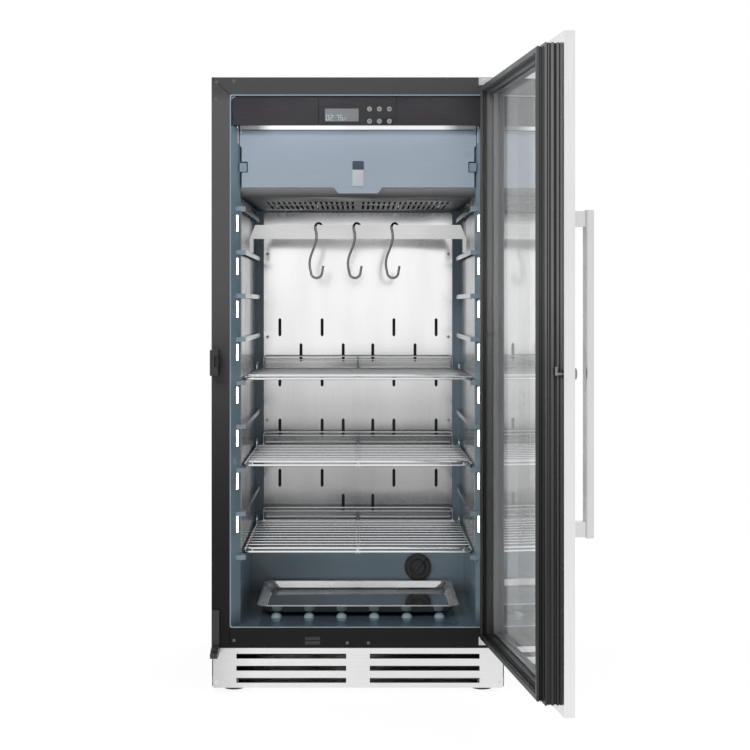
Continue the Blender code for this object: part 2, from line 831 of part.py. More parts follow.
def bevel_block(side, along, out, heights):
    """A block lying on the lead-in bevel, set along it, out from it and in height."""
    run = Vector((-LEAD_STEP_SIDE, LEAD_END - LEAD_START)).normalized()
    normal = Vector((run.y, -run.x))
    start = Vector((MOUTH_HALF, LEAD_START))
    middle = start.lerp(Vector((CHAMBER_HALF, LEAD_END)), LED_SHARE)
    points = []
    for a in along:
        for n in out:
            place = middle + run * a + normal * n
            for height in heights:
                points.append(at(side * place.x, place.y, height))
    return hull(points)


def led_heights():
    return [LED_FIRST + LED_SPACING * step for step in range(LED_COUNT)]


def strip_solid(side, clearance):
    half = STRIP_HALF_WIDTH + clearance
    out = (LINER_WALL + FIT - clearance, LINER_WALL + FIT + STRIP_THICK + clearance)
    low = LED_FIRST - LED_HALF_HEIGHT - STRIP_MARGIN - clearance
    high = led_heights()[-1] + LED_HALF_HEIGHT + STRIP_MARGIN + clearance
    return bevel_block(side, (-half, half), out, (low, high))


def lens_solids(side, clearance, out):
    half = LED_HALF_WIDTH - clearance
    tall = LED_HALF_HEIGHT - clearance
    lenses = []
    for height in led_heights():
        lenses.append(bevel_block(side, (-half, half), out, (height - tall, height + tall)))
    return gathered(lenses)


def disc(x, depth, z, radius, sides=ROUND_SIDES):
    """A round bar along the depth, from its first depth to its second."""
    return rods([((x, depth[0], z), (x, depth[1], z))], radius, sides)


def make_frame_bars():
    outer = HALF_WIDTH
    inner = OPENING_HALF
    shapes = {
        "frame_top": [(-outer, BODY_TOP), (outer, BODY_TOP), (inner, OPENING_HIGH), (-inner, OPENING_HIGH)],
        "frame_bottom": rectangle(-inner + FIT, inner - FIT, FRAME_FOOT, OPENING_LOW),
    }
    mitre = FIT * math.sqrt(2)
    for name, side in (("frame_left", -1), ("frame_right", 1)):
        shapes[name] = [
            (side * outer, FRAME_FOOT),
            (side * inner, FRAME_FOOT),
            (side * inner, OPENING_HIGH - mitre),
            (side * outer, BODY_TOP - mitre),
        ]
    for name, outline in shapes.items():
        bar = add_piece(name, plate([outline], "front", 0, FRAME_DEPTH), BLACK_PLASTIC)
        bevel(bar, BAR_EDGE)


def make_shell():
    inner = HALF_WIDTH - SHEET
    outline = [
        (-HALF_WIDTH, 0),
        (-inner, 0),
        (-inner, BODY_TOP - SHEET),
        (inner, BODY_TOP - SHEET),
        (inner, 0),
        (HALF_WIDTH, 0),
        (HALF_WIDTH, BODY_TOP),
        (-HALF_WIDTH, BODY_TOP),
    ]
    add_piece("outer_shell", plate([outline], "front", BEHIND_FRAME, INSIDE_REAR), BLACK_PAINT)


def make_rear_cover():
    sheet = ((-HALF_WIDTH, HALF_WIDTH), (BODY_DEPTH - SHEET, BODY_DEPTH), (0, BODY_TOP))
    cover = add_piece("rear_cover", boxes(sheet), BLACK_PAINT)
    through = (BODY_DEPTH - OVERRUN, BODY_DEPTH + OVERRUN)
    vents = []
    for step in range(VENT_COUNT):
        left = (step - (VENT_COUNT - 1) / 2) * VENT_SPACING - VENT_WIDTH / 2
        vents.append(((left, left + VENT_WIDTH), through, (VENT_LOW, VENT_LOW + VENT_HEIGHT)))
    cut(cover, boxes(*vents))
    cut(cover, disc(CORD_X, through, CORD_Z, CORD_HOLE))
    front = BODY_DEPTH - SHEET - FIT
    gland = add_piece("cord_inlet", disc(CORD_X, (front - GLAND_DEPTH, front), CORD_Z, GLAND_RADIUS), RUBBER)
    rear = BODY_DEPTH + FIT
    overlap = GLAND_DEPTH / 2
    join(gland, disc(CORD_X, (front - overlap, rear + overlap), CORD_Z, CORD_HOLE - FIT))
    join(gland, disc(CORD_X, (rear, rear + GLAND_DEPTH), CORD_Z, GLAND_RADIUS))
    through = (front - GLAND_DEPTH - OVERRUN, rear + GLAND_DEPTH + OVERRUN)
    cut(gland, disc(CORD_X, through, CORD_Z, GLAND_BORE))


def foot_places():
    rear = BODY_DEPTH - FOOT_REAR_GAP
    return (
        ("foot_front_left", -FOOT_X, FOOT_FRONT),
        ("foot_front_right", FOOT_X, FOOT_FRONT),
        ("foot_rear_left", -FOOT_X, rear),
        ("foot_rear_right", FOOT_X, rear),
    )


def make_base_pan():
    inner = INSIDE_SHELL - PAN_SHEET
    right = [
        (INSIDE_SHELL, 0),
        (INSIDE_SHELL, PAN_FLANGE),
        (inner, PAN_FLANGE),
        (inner, PAN_SHEET),
    ]
    outline = right + [(-x, z) for x, z in reversed(right)]
    pan = add_piece("base_pan", plate([outline], "front", BEHIND_FRAME, INSIDE_REAR), GALVANISED)
    nuts = [((x, depth, PAN_SHEET / 2), (x, depth, PAN_SHEET + NUT_HEIGHT)) for _, x, depth in foot_places()]
    join(pan, rods(nuts, NUT_RADIUS))
    holes = [((x, depth, -OVERRUN), (x, depth, FOOT_RISE)) for _, x, depth in foot_places()]
    cut(pan, rods(holes, FOOT_STUD + 2 * FIT, ROUND_SIDES))


def make_feet():
    profile = (
        (0, FOOT_RISE),
        (FOOT_STUD, FOOT_RISE),
        (FOOT_STUD, -FOOT_DROP * FOOT_SHOULDER_SHARE),
        (FOOT_PAD, -FOOT_DROP * FOOT_RIM_SHARE),
        (FOOT_PAD, -FOOT_DROP),
        (0, -FOOT_DROP),
    )
    for name, x, depth in foot_places():
        turned(name, profile, BLACK_PLASTIC, at(x, depth, 0))


def make_plinth_grille():
    high = FRAME_FOOT - GRILLE_GAP
    outlines = [rectangle(-GRILLE_HALF, GRILLE_HALF, 0, high)]
    for row in range(GRILLE_ROW_COUNT):
        low = GRILLE_SLOT_LOW + row * GRILLE_SLOT_SPACING
        for left, right in ((-GRILLE_SLOT_OUT, -GRILLE_SLOT_IN), (GRILLE_SLOT_IN, GRILLE_SLOT_OUT)):
            outlines.append(round_slot(left, right, low, low + GRILLE_SLOT_HEIGHT))
    grille = add_piece("plinth_grille", plate(outlines, "front", GRILLE_FRONT, GRILLE_FRONT + GRILLE_SHEET),
                       STAINLESS)
    returns = []
    for side in (-1, 1):
        outer = GRILLE_HALF - FIT
        x = sorted((side * outer, side * (outer - GRILLE_SHEET)))
        depth = (GRILLE_FRONT + GRILLE_SHEET / 2, GRILLE_FRONT + GRILLE_RETURN)
        returns.append((x, depth, (FIT, high - FIT)))
    join(grille, boxes(*returns))


def rib_solid(x):
    """A floor rib with a half-round section and a rounded nose."""
    foot = FLOOR - LINER_WALL / 2
    rise = RIB_TOP - foot
    sections = [(RIB_NOSE + RIB_NOSE_LENGTH * run, share) for run, share in RIB_NOSE_SHARES]
    sections.append((HUMP_FACE + LINER_WALL / 2, 1))
    points = []
    for depth, share in sections:
        for step in range(RIB_STEPS + 1):
            angle = math.pi * step / RIB_STEPS
            across = RIB_HALF * share * math.cos(angle)
            points.append(at(x + across, depth, foot + rise * share * math.sin(angle)))
    return hull(points)


def runner_blocks(side):
    slope = LEAD_STEP_SIDE / (LEAD_END - LEAD_START)
    wall = LINER_WALL / 2
    inner = CHAMBER_HALF - BLOCK_INSET
    outline = [
        (side * inner, BLOCK_FRONT),
        (side * (CHAMBER_HALF + slope * (LEAD_END - BLOCK_FRONT) + wall), BLOCK_FRONT),
        (side * (CHAMBER_HALF + wall), LEAD_END),
        (side * (CHAMBER_HALF + wall), BLOCK_REAR),
        (side * inner, BLOCK_REAR),
    ]
    one = plate([outline], "top", -BLOCK_HALF_HEIGHT, BLOCK_HALF_HEIGHT)
    return [moved(one, (0, 0, level_height(level))) for level in range(LEVEL_COUNT)]


def lug_extent(side):
    high = FLAP_TOP - LUG_HIGH_BELOW
    x = sorted((side * (CHAMBER_HALF - LUG_INSET), side * (CHAMBER_HALF + LINER_WALL / 2)))
    return x, (LUG_FRONT, LUG_FRONT + LUG_DEPTH), (high - LUG_HEIGHT, high)


def make_liner():
    liner = add_piece("inner_liner", mouth_solid(LINER_WALL, LEAD_START), LINER_PLASTIC)
    join(liner, chamber_solid(LINER_WALL), fascia_pocket(LINER_WALL))
    across = (-INSIDE_SHELL, INSIDE_SHELL)
    flange = (BEHIND_FRAME, BEHIND_FRAME + LINER_WALL)
    join(liner, boxes((across, flange, (FRAME_FOOT + FIT, INSIDE_TOP))))
    cut(liner, *chamber_solids(0, LEAD_START - OVERRUN))
    fittings = [boxes(lug_extent(-1), lug_extent(1))]
    for step in range(RIB_COUNT):
        fittings.append(rib_solid((step - (RIB_COUNT - 1) / 2) * RIB_SPACING))
    for side in (-1, 1):
        fittings.extend(runner_blocks(side))
    join(liner, gathered(fittings))
    for side in (-1, 1):
        cut(liner, lens_solids(side, 0, (-LINER_WALL, 2 * LINER_WALL)))
    port = (HUMP_FACE - OVERRUN, HUMP_FACE + LINER_WALL + OVERRUN)
    cut(liner, disc(FILTER_X, port, FILTER_Z, FILTER_DUCT + FIT))
    drain_low = (COMPRESSOR_X, DRAIN_DEPTH, HUMP_TOP - OVERRUN)
    drain_high = (COMPRESSOR_X, DRAIN_DEPTH, HUMP_TOP + OVERRUN)
    drain = [(drain_low, drain_high)]
    cut(liner, rods(drain, DRAIN_BORE, ROUND_SIDES))


def make_insulation():
    low = FRAME_FOOT + FIT
    front = BEHIND_FRAME + LINER_WALL + FIT
    across = (-INSIDE_SHELL, INSIDE_SHELL)
    foam = add_piece("insulation", boxes((across, (front, INSIDE_REAR), (low, INSIDE_TOP))), FOAM)
    cut(foam, *chamber_solids(LINER_WALL + FIT, LEAD_START))
    beyond = (-HALF_WIDTH - OVERRUN, HALF_WIDTH + OVERRUN)
    cut(foam, boxes((beyond, (MACHINE_FRONT, BODY_DEPTH + OVERRUN), (0, MACHINE_TOP))))
    cut(foam, gathered([strip_solid(side, FIT) for side in (-1, 1)]))
    duct = (HUMP_FACE, MACHINE_FRONT + OVERRUN)
    cut(foam, disc(FILTER_X, duct, FILTER_Z, FILTER_DUCT + FIT))
    drain = [((COMPRESSOR_X, DRAIN_DEPTH, MACHINE_TOP - OVERRUN), (COMPRESSOR_X, DRAIN_DEPTH, HUMP_TOP))]
    cut(foam, rods(drain, DRAIN_RADIUS + FIT, ROUND_SIDES))


def make_fascia():
    waist = FASCIA_HALF - FASCIA_WAIST
    shoulder = FASCIA_HIGH - FASCIA_SHOULDER
    corner = rounded(-FASCIA_HALF, FASCIA_HALF, FASCIA_LOW, FASCIA_HIGH, FASCIA_CORNER)
    top = [point for point in corner if point[1] > shoulder]
    outline = [(waist, FASCIA_LOW), (waist, shoulder - FASCIA_WAIST), (FASCIA_HALF, shoulder)]
    outline += top + [(-x, z) for x, z in reversed(outline)]
    fascia = add_piece("control_fascia", plate([outline], "front", FASCIA_FRONT, FASCIA_REAR), DARK_METAL)
    hollow = FASCIA_FRONT + FASCIA_WALL
    inside = (-waist + FASCIA_WALL, waist - FASCIA_WALL)
    heights = (FASCIA_LOW + FASCIA_WALL, FASCIA_HIGH - FASCIA_CORNER)
    cut(fascia, boxes((inside, (hollow, FASCIA_REAR + OVERRUN), heights)))
    low = FASCIA_LOW + DISPLAY_LIFT
    high = low + DISPLAY_HEIGHT
    seat = FASCIA_FRONT + DISPLAY_THICK + FIT
    recess = (-DISPLAY_LEFT - FIT, DISPLAY_RIGHT + FIT)
    cut(fascia, boxes((recess, (-OVERRUN, seat), (low - FIT, high + FIT))))
    display = ((-DISPLAY_LEFT, DISPLAY_RIGHT), (seat - FIT - DISPLAY_THICK, seat - FIT), (low, high))
    add_piece("display_panel", boxes(display), DISPLAY_GLOSS)

    board_low = FASCIA_LOW + 2 * FASCIA_WALL
    board_high = board_low + BOARD_HEIGHT
    posts = []
    for x in (-BOARD_HALF + BOARD_POST, BOARD_HALF - BOARD_POST):
        for z in (board_low + BOARD_POST, board_high - BOARD_POST):
            posts.append(((x, hollow - FASCIA_WALL / 4, z), (x, hollow + BOARD_POST_LENGTH, z)))
    join(fascia, rods(posts, BOARD_POST))
    front = hollow + BOARD_POST_LENGTH + FIT
    extent = ((-BOARD_HALF, BOARD_HALF), (front, front + BOARD_THICK), (board_low, board_high))
    board = add_piece("control_board", boxes(extent), BOARD_GREEN)
    relays = []
    for x in (-BOARD_HALF / 2, 0, BOARD_HALF / 2):
        depth = (front + BOARD_THICK / 2, front + BOARD_THICK + RELAY_DEPTH)
        z = (board_low + RELAY_SIZE / 2, board_low + RELAY_SIZE * 3 / 2)
        relays.append(((x - RELAY_SIZE / 2, x + RELAY_SIZE / 2), depth, z))
    join(board, boxes(*relays))


def make_light_bar():
    half = MOUTH_HALF - BAR_LIGHT_INSET
    depth = (BAR_LIGHT_FRONT, BAR_LIGHT_FRONT + BAR_LIGHT_THICK)
    add_piece("light_bar", boxes(((-half, half), depth, (BAR_LIGHT_LOW, BAR_LIGHT_HIGH))), LENS)


def flap_hinge():
    return at(0, FLAP_FRONT + FLAP_THICK / 2, FLAP_TOP - PIN_DROP)


def make_flap():
    right = [
        (FLAP_HALF - CORNER_CUT, FLAP_TOP),
        (FLAP_HALF - CORNER_CUT, FLAP_TOP - CLIP_HEIGHT),
        (FLAP_HALF, FLAP_TOP - CLIP_HEIGHT),
        (FLAP_HALF, FLAP_TOP - FLAP_EAR),
        (FLAP_HALF - FLAP_WAIST, FLAP_TOP - FLAP_EAR - FLAP_WAIST),
        (FLAP_HALF - FLAP_WAIST, FLAP_TOP - FLAP_NOTCH_HIGH),
        (FLAP_HALF - FLAP_NOTCH_IN, FLAP_TOP - FLAP_NOTCH_HIGH),
        (FLAP_HALF - FLAP_NOTCH_IN, FLAP_TOP - FLAP_NOTCH_LOW),
        (FLAP_HALF - FLAP_WAIST, FLAP_TOP - FLAP_NOTCH_LOW),
        (FLAP_HALF - FLAP_WAIST, FLAP_LOW),
        (FLAP_TAB_TOP, FLAP_LOW),
        (FLAP_TAB_LOW, FLAP_LOW - FLAP_TAB_DROP),
    ]
    outline = right + [(-x, z) for x, z in reversed(right)]
    window_low = FLAP_LOW + LATCH_LIFT + LATCH_NECK_LOW - FIT
    window_high = window_low + LATCH_NECK_HEIGHT + LATCH_TRAVEL + 2 * FIT
    neck = LATCH_NECK_HALF + FIT
    window = rectangle(-neck, neck, window_low, window_high)
    depth = (FLAP_FRONT, FLAP_FRONT + FLAP_THICK)
    hinge = flap_hinge()
    flap = add_piece("flap", plate([outline, window], "front", *depth), FLAP_PLASTIC, hinge)
    pins = []
    pin_depth = sum(depth) / 2
    pin_z = FLAP_TOP - PIN_DROP
    for side in (-1, 1):
        start = side * (FLAP_HALF - CORNER_CUT - PIN_RADIUS)
        pins.append(((start, pin_depth, pin_z), (start + side * PIN_LENGTH, pin_depth, pin_z)))
    join(flap, rods(pins, PIN_RADIUS, 8))

    latch_low = FLAP_LOW + LATCH_LIFT
    neck_z = (latch_low + LATCH_NECK_LOW, latch_low + LATCH_NECK_LOW + LATCH_NECK_HEIGHT)
    plate_depth = (depth[0] - FIT - LATCH_THICK, depth[0] - FIT)
    back_depth = (depth[1] + FIT, depth[1] + FIT + LATCH_THICK)
    front_plate = ((-LATCH_HALF, LATCH_HALF), plate_depth, (latch_low, latch_low + LATCH_HEIGHT))
    latch = add_piece("flap_latch", boxes(front_plate), FLAP_PLASTIC, at(0, depth[0], latch_low))
    through = (plate_depth[0] + LATCH_THICK / 2, back_depth[0] + LATCH_THICK / 2)
    inside_z = (neck_z[0] + FIT, neck_z[1] - FIT)
    join(latch, boxes(((-LATCH_NECK_HALF, LATCH_NECK_HALF), through, inside_z)))
    join(latch, boxes(((-LATCH_BACK_HALF, LATCH_BACK_HALF), back_depth, neck_z)))

    reach = FLAP_HALF - CORNER_CUT + FIT * 2
    for name, side in (("flap_clip_left", -1), ("flap_clip_right", 1)):
        x = sorted((side * reach, side * (reach + CLIP_WIDTH)))
        clip_depth = (pin_depth - CLIP_DEPTH / 2, pin_depth + CLIP_DEPTH / 2)
        clip_z = (FLAP_TOP - CLIP_HEIGHT + FIT * 2, FLAP_TOP + PIN_DROP)
        clip = add_piece(name, boxes((x, clip_depth, clip_z)), FLAP_PLASTIC)
        run = [((x[0] - OVERRUN, pin_depth, pin_z), (x[1] + OVERRUN, pin_depth, pin_z))]
        cut(clip, rods(run, PIN_RADIUS + PIN_CLEARANCE, 8))


def make_evaporator_cover():
    slope_end = COVER_FRONT + COVER_SLOPE
    outline = [
        (COVER_FRONT, COVER_TOP),
        (slope_end, COVER_FLAT),
        (COVER_REAR, COVER_FLAT),
        (COVER_REAR, COVER_FLAT + SHEET),
        (slope_end, COVER_FLAT + SHEET),
        (COVER_FRONT, COVER_TOP + SHEET),
    ]
    half = CHAMBER_HALF - COVER_SIDE_GAP
    cover = add_piece("evaporator_cover", plate([outline], "side", -half, half), STAINLESS)
    slots = []
    z = (COVER_FLAT - OVERRUN, COVER_FLAT + SHEET + OVERRUN)
    for row in (COVER_FIRST_ROW, COVER_SECOND_ROW):
        for column in range(1, COVER_COLUMN_COUNT + 1):
            for side in (-1, 1):
                x = side * column * COVER_SPACING
                slots.append(((x - COVER_SLOT / 2, x + COVER_SLOT / 2), row, z))
    cut(cover, boxes(*slots))


def fin_block(left, right, low, high, fins, front, rear):
    """Upright fins, and the spine that they hang from."""
    pitch = (right - left - FIN_THICK) / (fins - 1)
    blocks = []
    for fin in range(fins):
        start = left + fin * pitch
        blocks.append(((start, start + FIN_THICK), (front, rear), (low, high)))
    end = FIN_THICK / 2
    spine = ((left + end, right - end), (front + end, rear - end), (high - FIN_SPINE - end, high - end))
    return boxes(spine), boxes(*blocks)


def return_bends(face, side, front, rear, low, high, count):
    """Half-round tube bends that stand out from the last fin."""
    bends = []
    for number in range(count):
        middle = front + (rear - front) * (number + 1) / (count + 1)
        height = (low + high) / 2
        points = [(face - side * FIN_THICK / 2, middle, height - BEND_RADIUS)]
        for step in range(BEND_STEPS + 1):
            angle = math.pi * (step / BEND_STEPS - 1 / 2)
            out = face + side * (FIN_THICK + BEND_RADIUS * math.cos(angle))
            points.append((out, middle, height + BEND_RADIUS * math.sin(angle)))
        points.append((face - side * FIN_THICK / 2, middle, height + BEND_RADIUS))
        bends.append(tube(points, BEND_TUBE))
    return gathered(bends)


def make_coils():
    low = COVER_SEAT
    high = low + COIL_HEIGHT
    spine, fins = fin_block(-COIL_HALF, COIL_HALF, low, high, COIL_FIN_COUNT, COIL_FRONT, COIL_REAR)
    coil = add_piece("evaporator_coil", spine, ALUMINIUM)
    join(coil, fins)
    for side in (-1, 1):
        join(coil, return_bends(side * COIL_HALF, side, COIL_FRONT, COIL_REAR, low, high, COIL_BEND_COUNT))

    low = PAN_TOP
    high = low + CONDENSER_HEIGHT
    right = CONDENSER_LEFT + CONDENSER_WIDTH
    depths = (CONDENSER_FRONT, CONDENSER_REAR)
    spine, fins = fin_block(CONDENSER_LEFT, right, low, high, CONDENSER_FIN_COUNT, *depths)
    condenser = add_piece("condenser", spine, ALUMINIUM)
    join(condenser, fins)
    join(condenser, return_bends(CONDENSER_LEFT, -1, *depths, low, high, COIL_BEND_COUNT))


def blades(radius, start, end, axis_place, turn):
    """Pitched blades round an axis, clear of each other, from hub to tip."""
    form = bmesh.new()
    inner = FAN_HUB - BLADE_THICK
    length = radius - inner
    for number in range(BLADE_COUNT):
        spin = Matrix.Rotation(2 * math.pi * number / BLADE_COUNT, 4, "Z")
        out = Matrix.Translation((inner + length / 2, 0, (start + end) / 2))
        pitch = Matrix.Rotation(BLADE_PITCH, 4, "X")
        size = Matrix.Diagonal((length, BLADE_CHORD, BLADE_THICK, 1))
        place = axis_place @ turn @ spin @ out @ pitch @ size
        bmesh.ops.create_cube(form, size=1, matrix=place)
    return finished(form)


def make_fan(frame_name, fan_name, frame, bore, tip, centre, turn, slot):
    """A square fan frame with its motor on three struts, and the turning blades."""
    place = Matrix.Translation(centre)

    def bar(start, end, radius, sides=ROUND_SIDES):
        form = bmesh.new()
        ends = [place @ turn @ Vector((0, 0, along)) for along in (start, end)]
        add_rod(form, *ends, radius, sides)
        return finished(form)

    housing = add_piece(frame_name, frame, slot)
    cut(housing, bar(-OVERRUN, FAN_FRAME_DEPTH + OVERRUN, bore, BORE_SIDES))
    for quarter, share in enumerate(STRUT_SHARES):
        form = bmesh.new()
        spin = Matrix.Rotation(quarter * math.pi / 2, 4, "Z")
        middle = Matrix.Translation((0, 0, FAN_FRAME_DEPTH - STRUT_DEPTH))
        size = Matrix.Diagonal((2 * bore + STRUT_WIDTH, STRUT_WIDTH, STRUT_DEPTH * share, 1))
        bmesh.ops.create_cube(form, size=1, matrix=place @ turn @ spin @ middle @ size)
        join(housing, finished(form))
    motor_start = FAN_HUB_START + FAN_HUB_LENGTH + FIT
    join(housing, bar(motor_start, FAN_FRAME_DEPTH + MOTOR_LENGTH, MOTOR_RADIUS))
    join(housing, bar(motor_start - SHAFT_ENGAGED, motor_start + SHAFT_RADIUS, SHAFT_RADIUS, 8))

    hub = bar(FAN_HUB_START, FAN_HUB_START + FAN_HUB_LENGTH, FAN_HUB)
    fan = add_piece(fan_name, hub, BLACK_PLASTIC, centre)
    join(fan, blades(tip, FAN_HUB_START, FAN_HUB_START + FAN_HUB_LENGTH, place, turn))
    shaft_hole = motor_start - SHAFT_ENGAGED - FIT
    cut(fan, bar(shaft_hole, motor_start + OVERRUN, SHAFT_RADIUS + FIT, 8))


def make_fans():
    low = COVER_SEAT
    centre_z = low + FAN_FRAME_HALF
    depth = (FAN_FRONT, FAN_FRONT + FAN_FRAME_DEPTH)
    half = FAN_FRAME_HALF
    frame = boxes(((-half, half), depth, (low, low + 2 * half)))
    along_depth = Matrix.Rotation(-math.pi / 2, 4, "X")
    make_fan("fan_housing", "evaporator_fan", frame, FAN_BORE, FAN_TIP,
             at(0, FAN_FRONT, centre_z), along_depth, BLACK_PLASTIC)

    middle = (CONDENSER_FRONT + CONDENSER_REAR) / 2
    high = PAN_TOP + SHROUD_HEIGHT
    centre_z = PAN_TOP + SHROUD_HEIGHT / 2
    x = (SHROUD_LEFT, SHROUD_LEFT + FAN_FRAME_DEPTH)
    frame = boxes((x, (middle - SHROUD_HALF, middle + SHROUD_HALF), (PAN_TOP, high)))
    along_x = Matrix.Rotation(math.pi / 2, 4, "Y")
    make_fan("condenser_shroud", "condenser_fan", frame, SHROUD_BORE, CONDENSER_FAN_TIP,
             at(SHROUD_LEFT, middle, centre_z), along_x, GALVANISED)


def make_back_panel():
    low = HUMP_TOP + PANEL_LOW_GAP
    high = COVER_FLAT - PANEL_TOP_GAP
    outlines = [rounded(-PANEL_HALF, PANEL_HALF, low, high, PANEL_CORNER, 2)]
    for row, columns in enumerate(PANEL_COLUMN_STEPS):
        bottom = low + PANEL_FIRST_ROW + row * PANEL_ROW_SPACING - PANEL_SLOT_LENGTH / 2
        for column in columns:
            for side in (-1, 1):
                middle = side * (PANEL_FIRST_COLUMN + column * PANEL_COLUMN_SPACING)
                left = middle - PANEL_SLOT_WIDTH / 2
                slot = round_slot(bottom, bottom + PANEL_SLOT_LENGTH, left, left + PANEL_SLOT_WIDTH, 2)
                outlines.append([(x, z) for z, x in reversed(slot)])
    rear = CHAMBER_DEPTH - FIT
    add_piece("back_panel", plate(outlines, "front", rear - SHEET, rear), STAINLESS)


def make_side_rack(name, side):
    outer = CHAMBER_HALF - FIT
    x = sorted((side * (outer - RACK_SHEET), side * outer))
    low = level_height(0) - RACK_MARGIN
    high = level_height(LEVEL_COUNT - 1) + RACK_MARGIN
    sheet = (x, (RACK_FRONT, RACK_FRONT + RACK_SHEET_LENGTH), (low, high))
    rack = add_piece(name, boxes(sheet), STAINLESS)
    inner = outer - LEDGE_WIDTH
    outline = [
        (side * outer, 0),
        (side * inner, 0),
        (side * inner, -LEDGE_LIP),
        (side * (inner + RACK_SHEET), -LEDGE_LIP),
        (side * (inner + RACK_SHEET), -RACK_SHEET),
        (side * outer, -RACK_SHEET),
    ]
    one = plate([outline], "front", RACK_FRONT, RACK_FRONT + LEDGE_LENGTH)
    ledges = [moved(one, (0, 0, level_height(level) + LEDGE_RISE)) for level in range(LEVEL_COUNT)]
    join(rack, gathered(ledges))


def make_led_strip(name, side):
    strip = add_piece(name, strip_solid(side, 0), LENS)
    join(strip, lens_solids(side, FIT, (FIT, LINER_WALL + FIT + STRIP_THICK / 2)))


def make_hanging_bar():
    seat = level_height(BAR_LEVEL_COUNT) + LEDGE_RISE + FIT
    low = seat + BAR_LEG_HEIGHT
    right = [
        (BAR_TOP_HALF, low + BAR_HEIGHT),
        (BAR_LOW_HALF, low),
        (BAR_LOW_HALF, seat + FIT),
        (BAR_LOW_HALF - BAR_LEG, seat + FIT),
        (BAR_LOW_HALF - BAR_LEG, low),
    ]
    outline = right + [(-x, z) for x, z in reversed(right)]
    depth = (BAR_DEPTH - BAR_THICK / 2, BAR_DEPTH + BAR_THICK / 2)
    bar = add_piece("hanging_bar", plate([outline], "front", *depth), STAINLESS, at(0, BAR_DEPTH, low))
    feet = []
    outer = CHAMBER_HALF - FIT - RACK_SHEET - FIT * 5
    for side in (-1, 1):
        x = sorted((side * outer, side * (outer - BAR_FOOT_WIDTH)))
        foot_depth = (BAR_DEPTH - BAR_FOOT_HALF, BAR_DEPTH + BAR_FOOT_HALF)
        feet.append((x, foot_depth, (seat, seat + BAR_FOOT_THICK)))
    join(bar, boxes(*feet))
    top = low + BAR_HEIGHT
    for name, share in zip(("hook_left", "hook_middle", "hook_right"), HOOK_PLACE_SHARES):
        make_hook(name, BAR_TOP_HALF * share, top)


def make_hook(name, x, top):
    """An S-hook: a loop over the bar, turned to it, and a bowl that faces front."""
    centre = top - HOOK_HANG
    ahead = Vector((-math.sin(HOOK_TURN), -math.cos(HOOK_TURN)))
    points = [(x - ahead.x * HOOK_LOOP, BAR_DEPTH - ahead.y * HOOK_LOOP, centre - HOOK_REAR_DROP)]
    for step in range(HOOK_STEPS + 1):
        angle = math.pi * (1 - step / HOOK_STEPS)
        out = ahead * HOOK_LOOP * math.cos(angle)
        points.append((x + out.x, BAR_DEPTH + out.y, centre + HOOK_LOOP * math.sin(angle)))
    shank_x = x + ahead.x * HOOK_LOOP
    depth = BAR_DEPTH + ahead.y * HOOK_LOOP
    low = centre - HOOK_SHANK
    left = shank_x - HOOK_SLANT
    for step in range(HOOK_STEPS + 1):
        angle = math.pi * (1 + step / HOOK_STEPS)
        across = left + HOOK_BOWL + HOOK_BOWL * math.cos(angle)
        points.append((across, depth, low + HOOK_BOWL * math.sin(angle)))
    points.append((left + 2 * HOOK_BOWL + HOOK_WIRE, depth, low + HOOK_TIP))
    mesh = tube(points, HOOK_WIRE)
    shade_round(mesh)
    add_piece(name, mesh, CHROME, at(x, BAR_DEPTH, top))


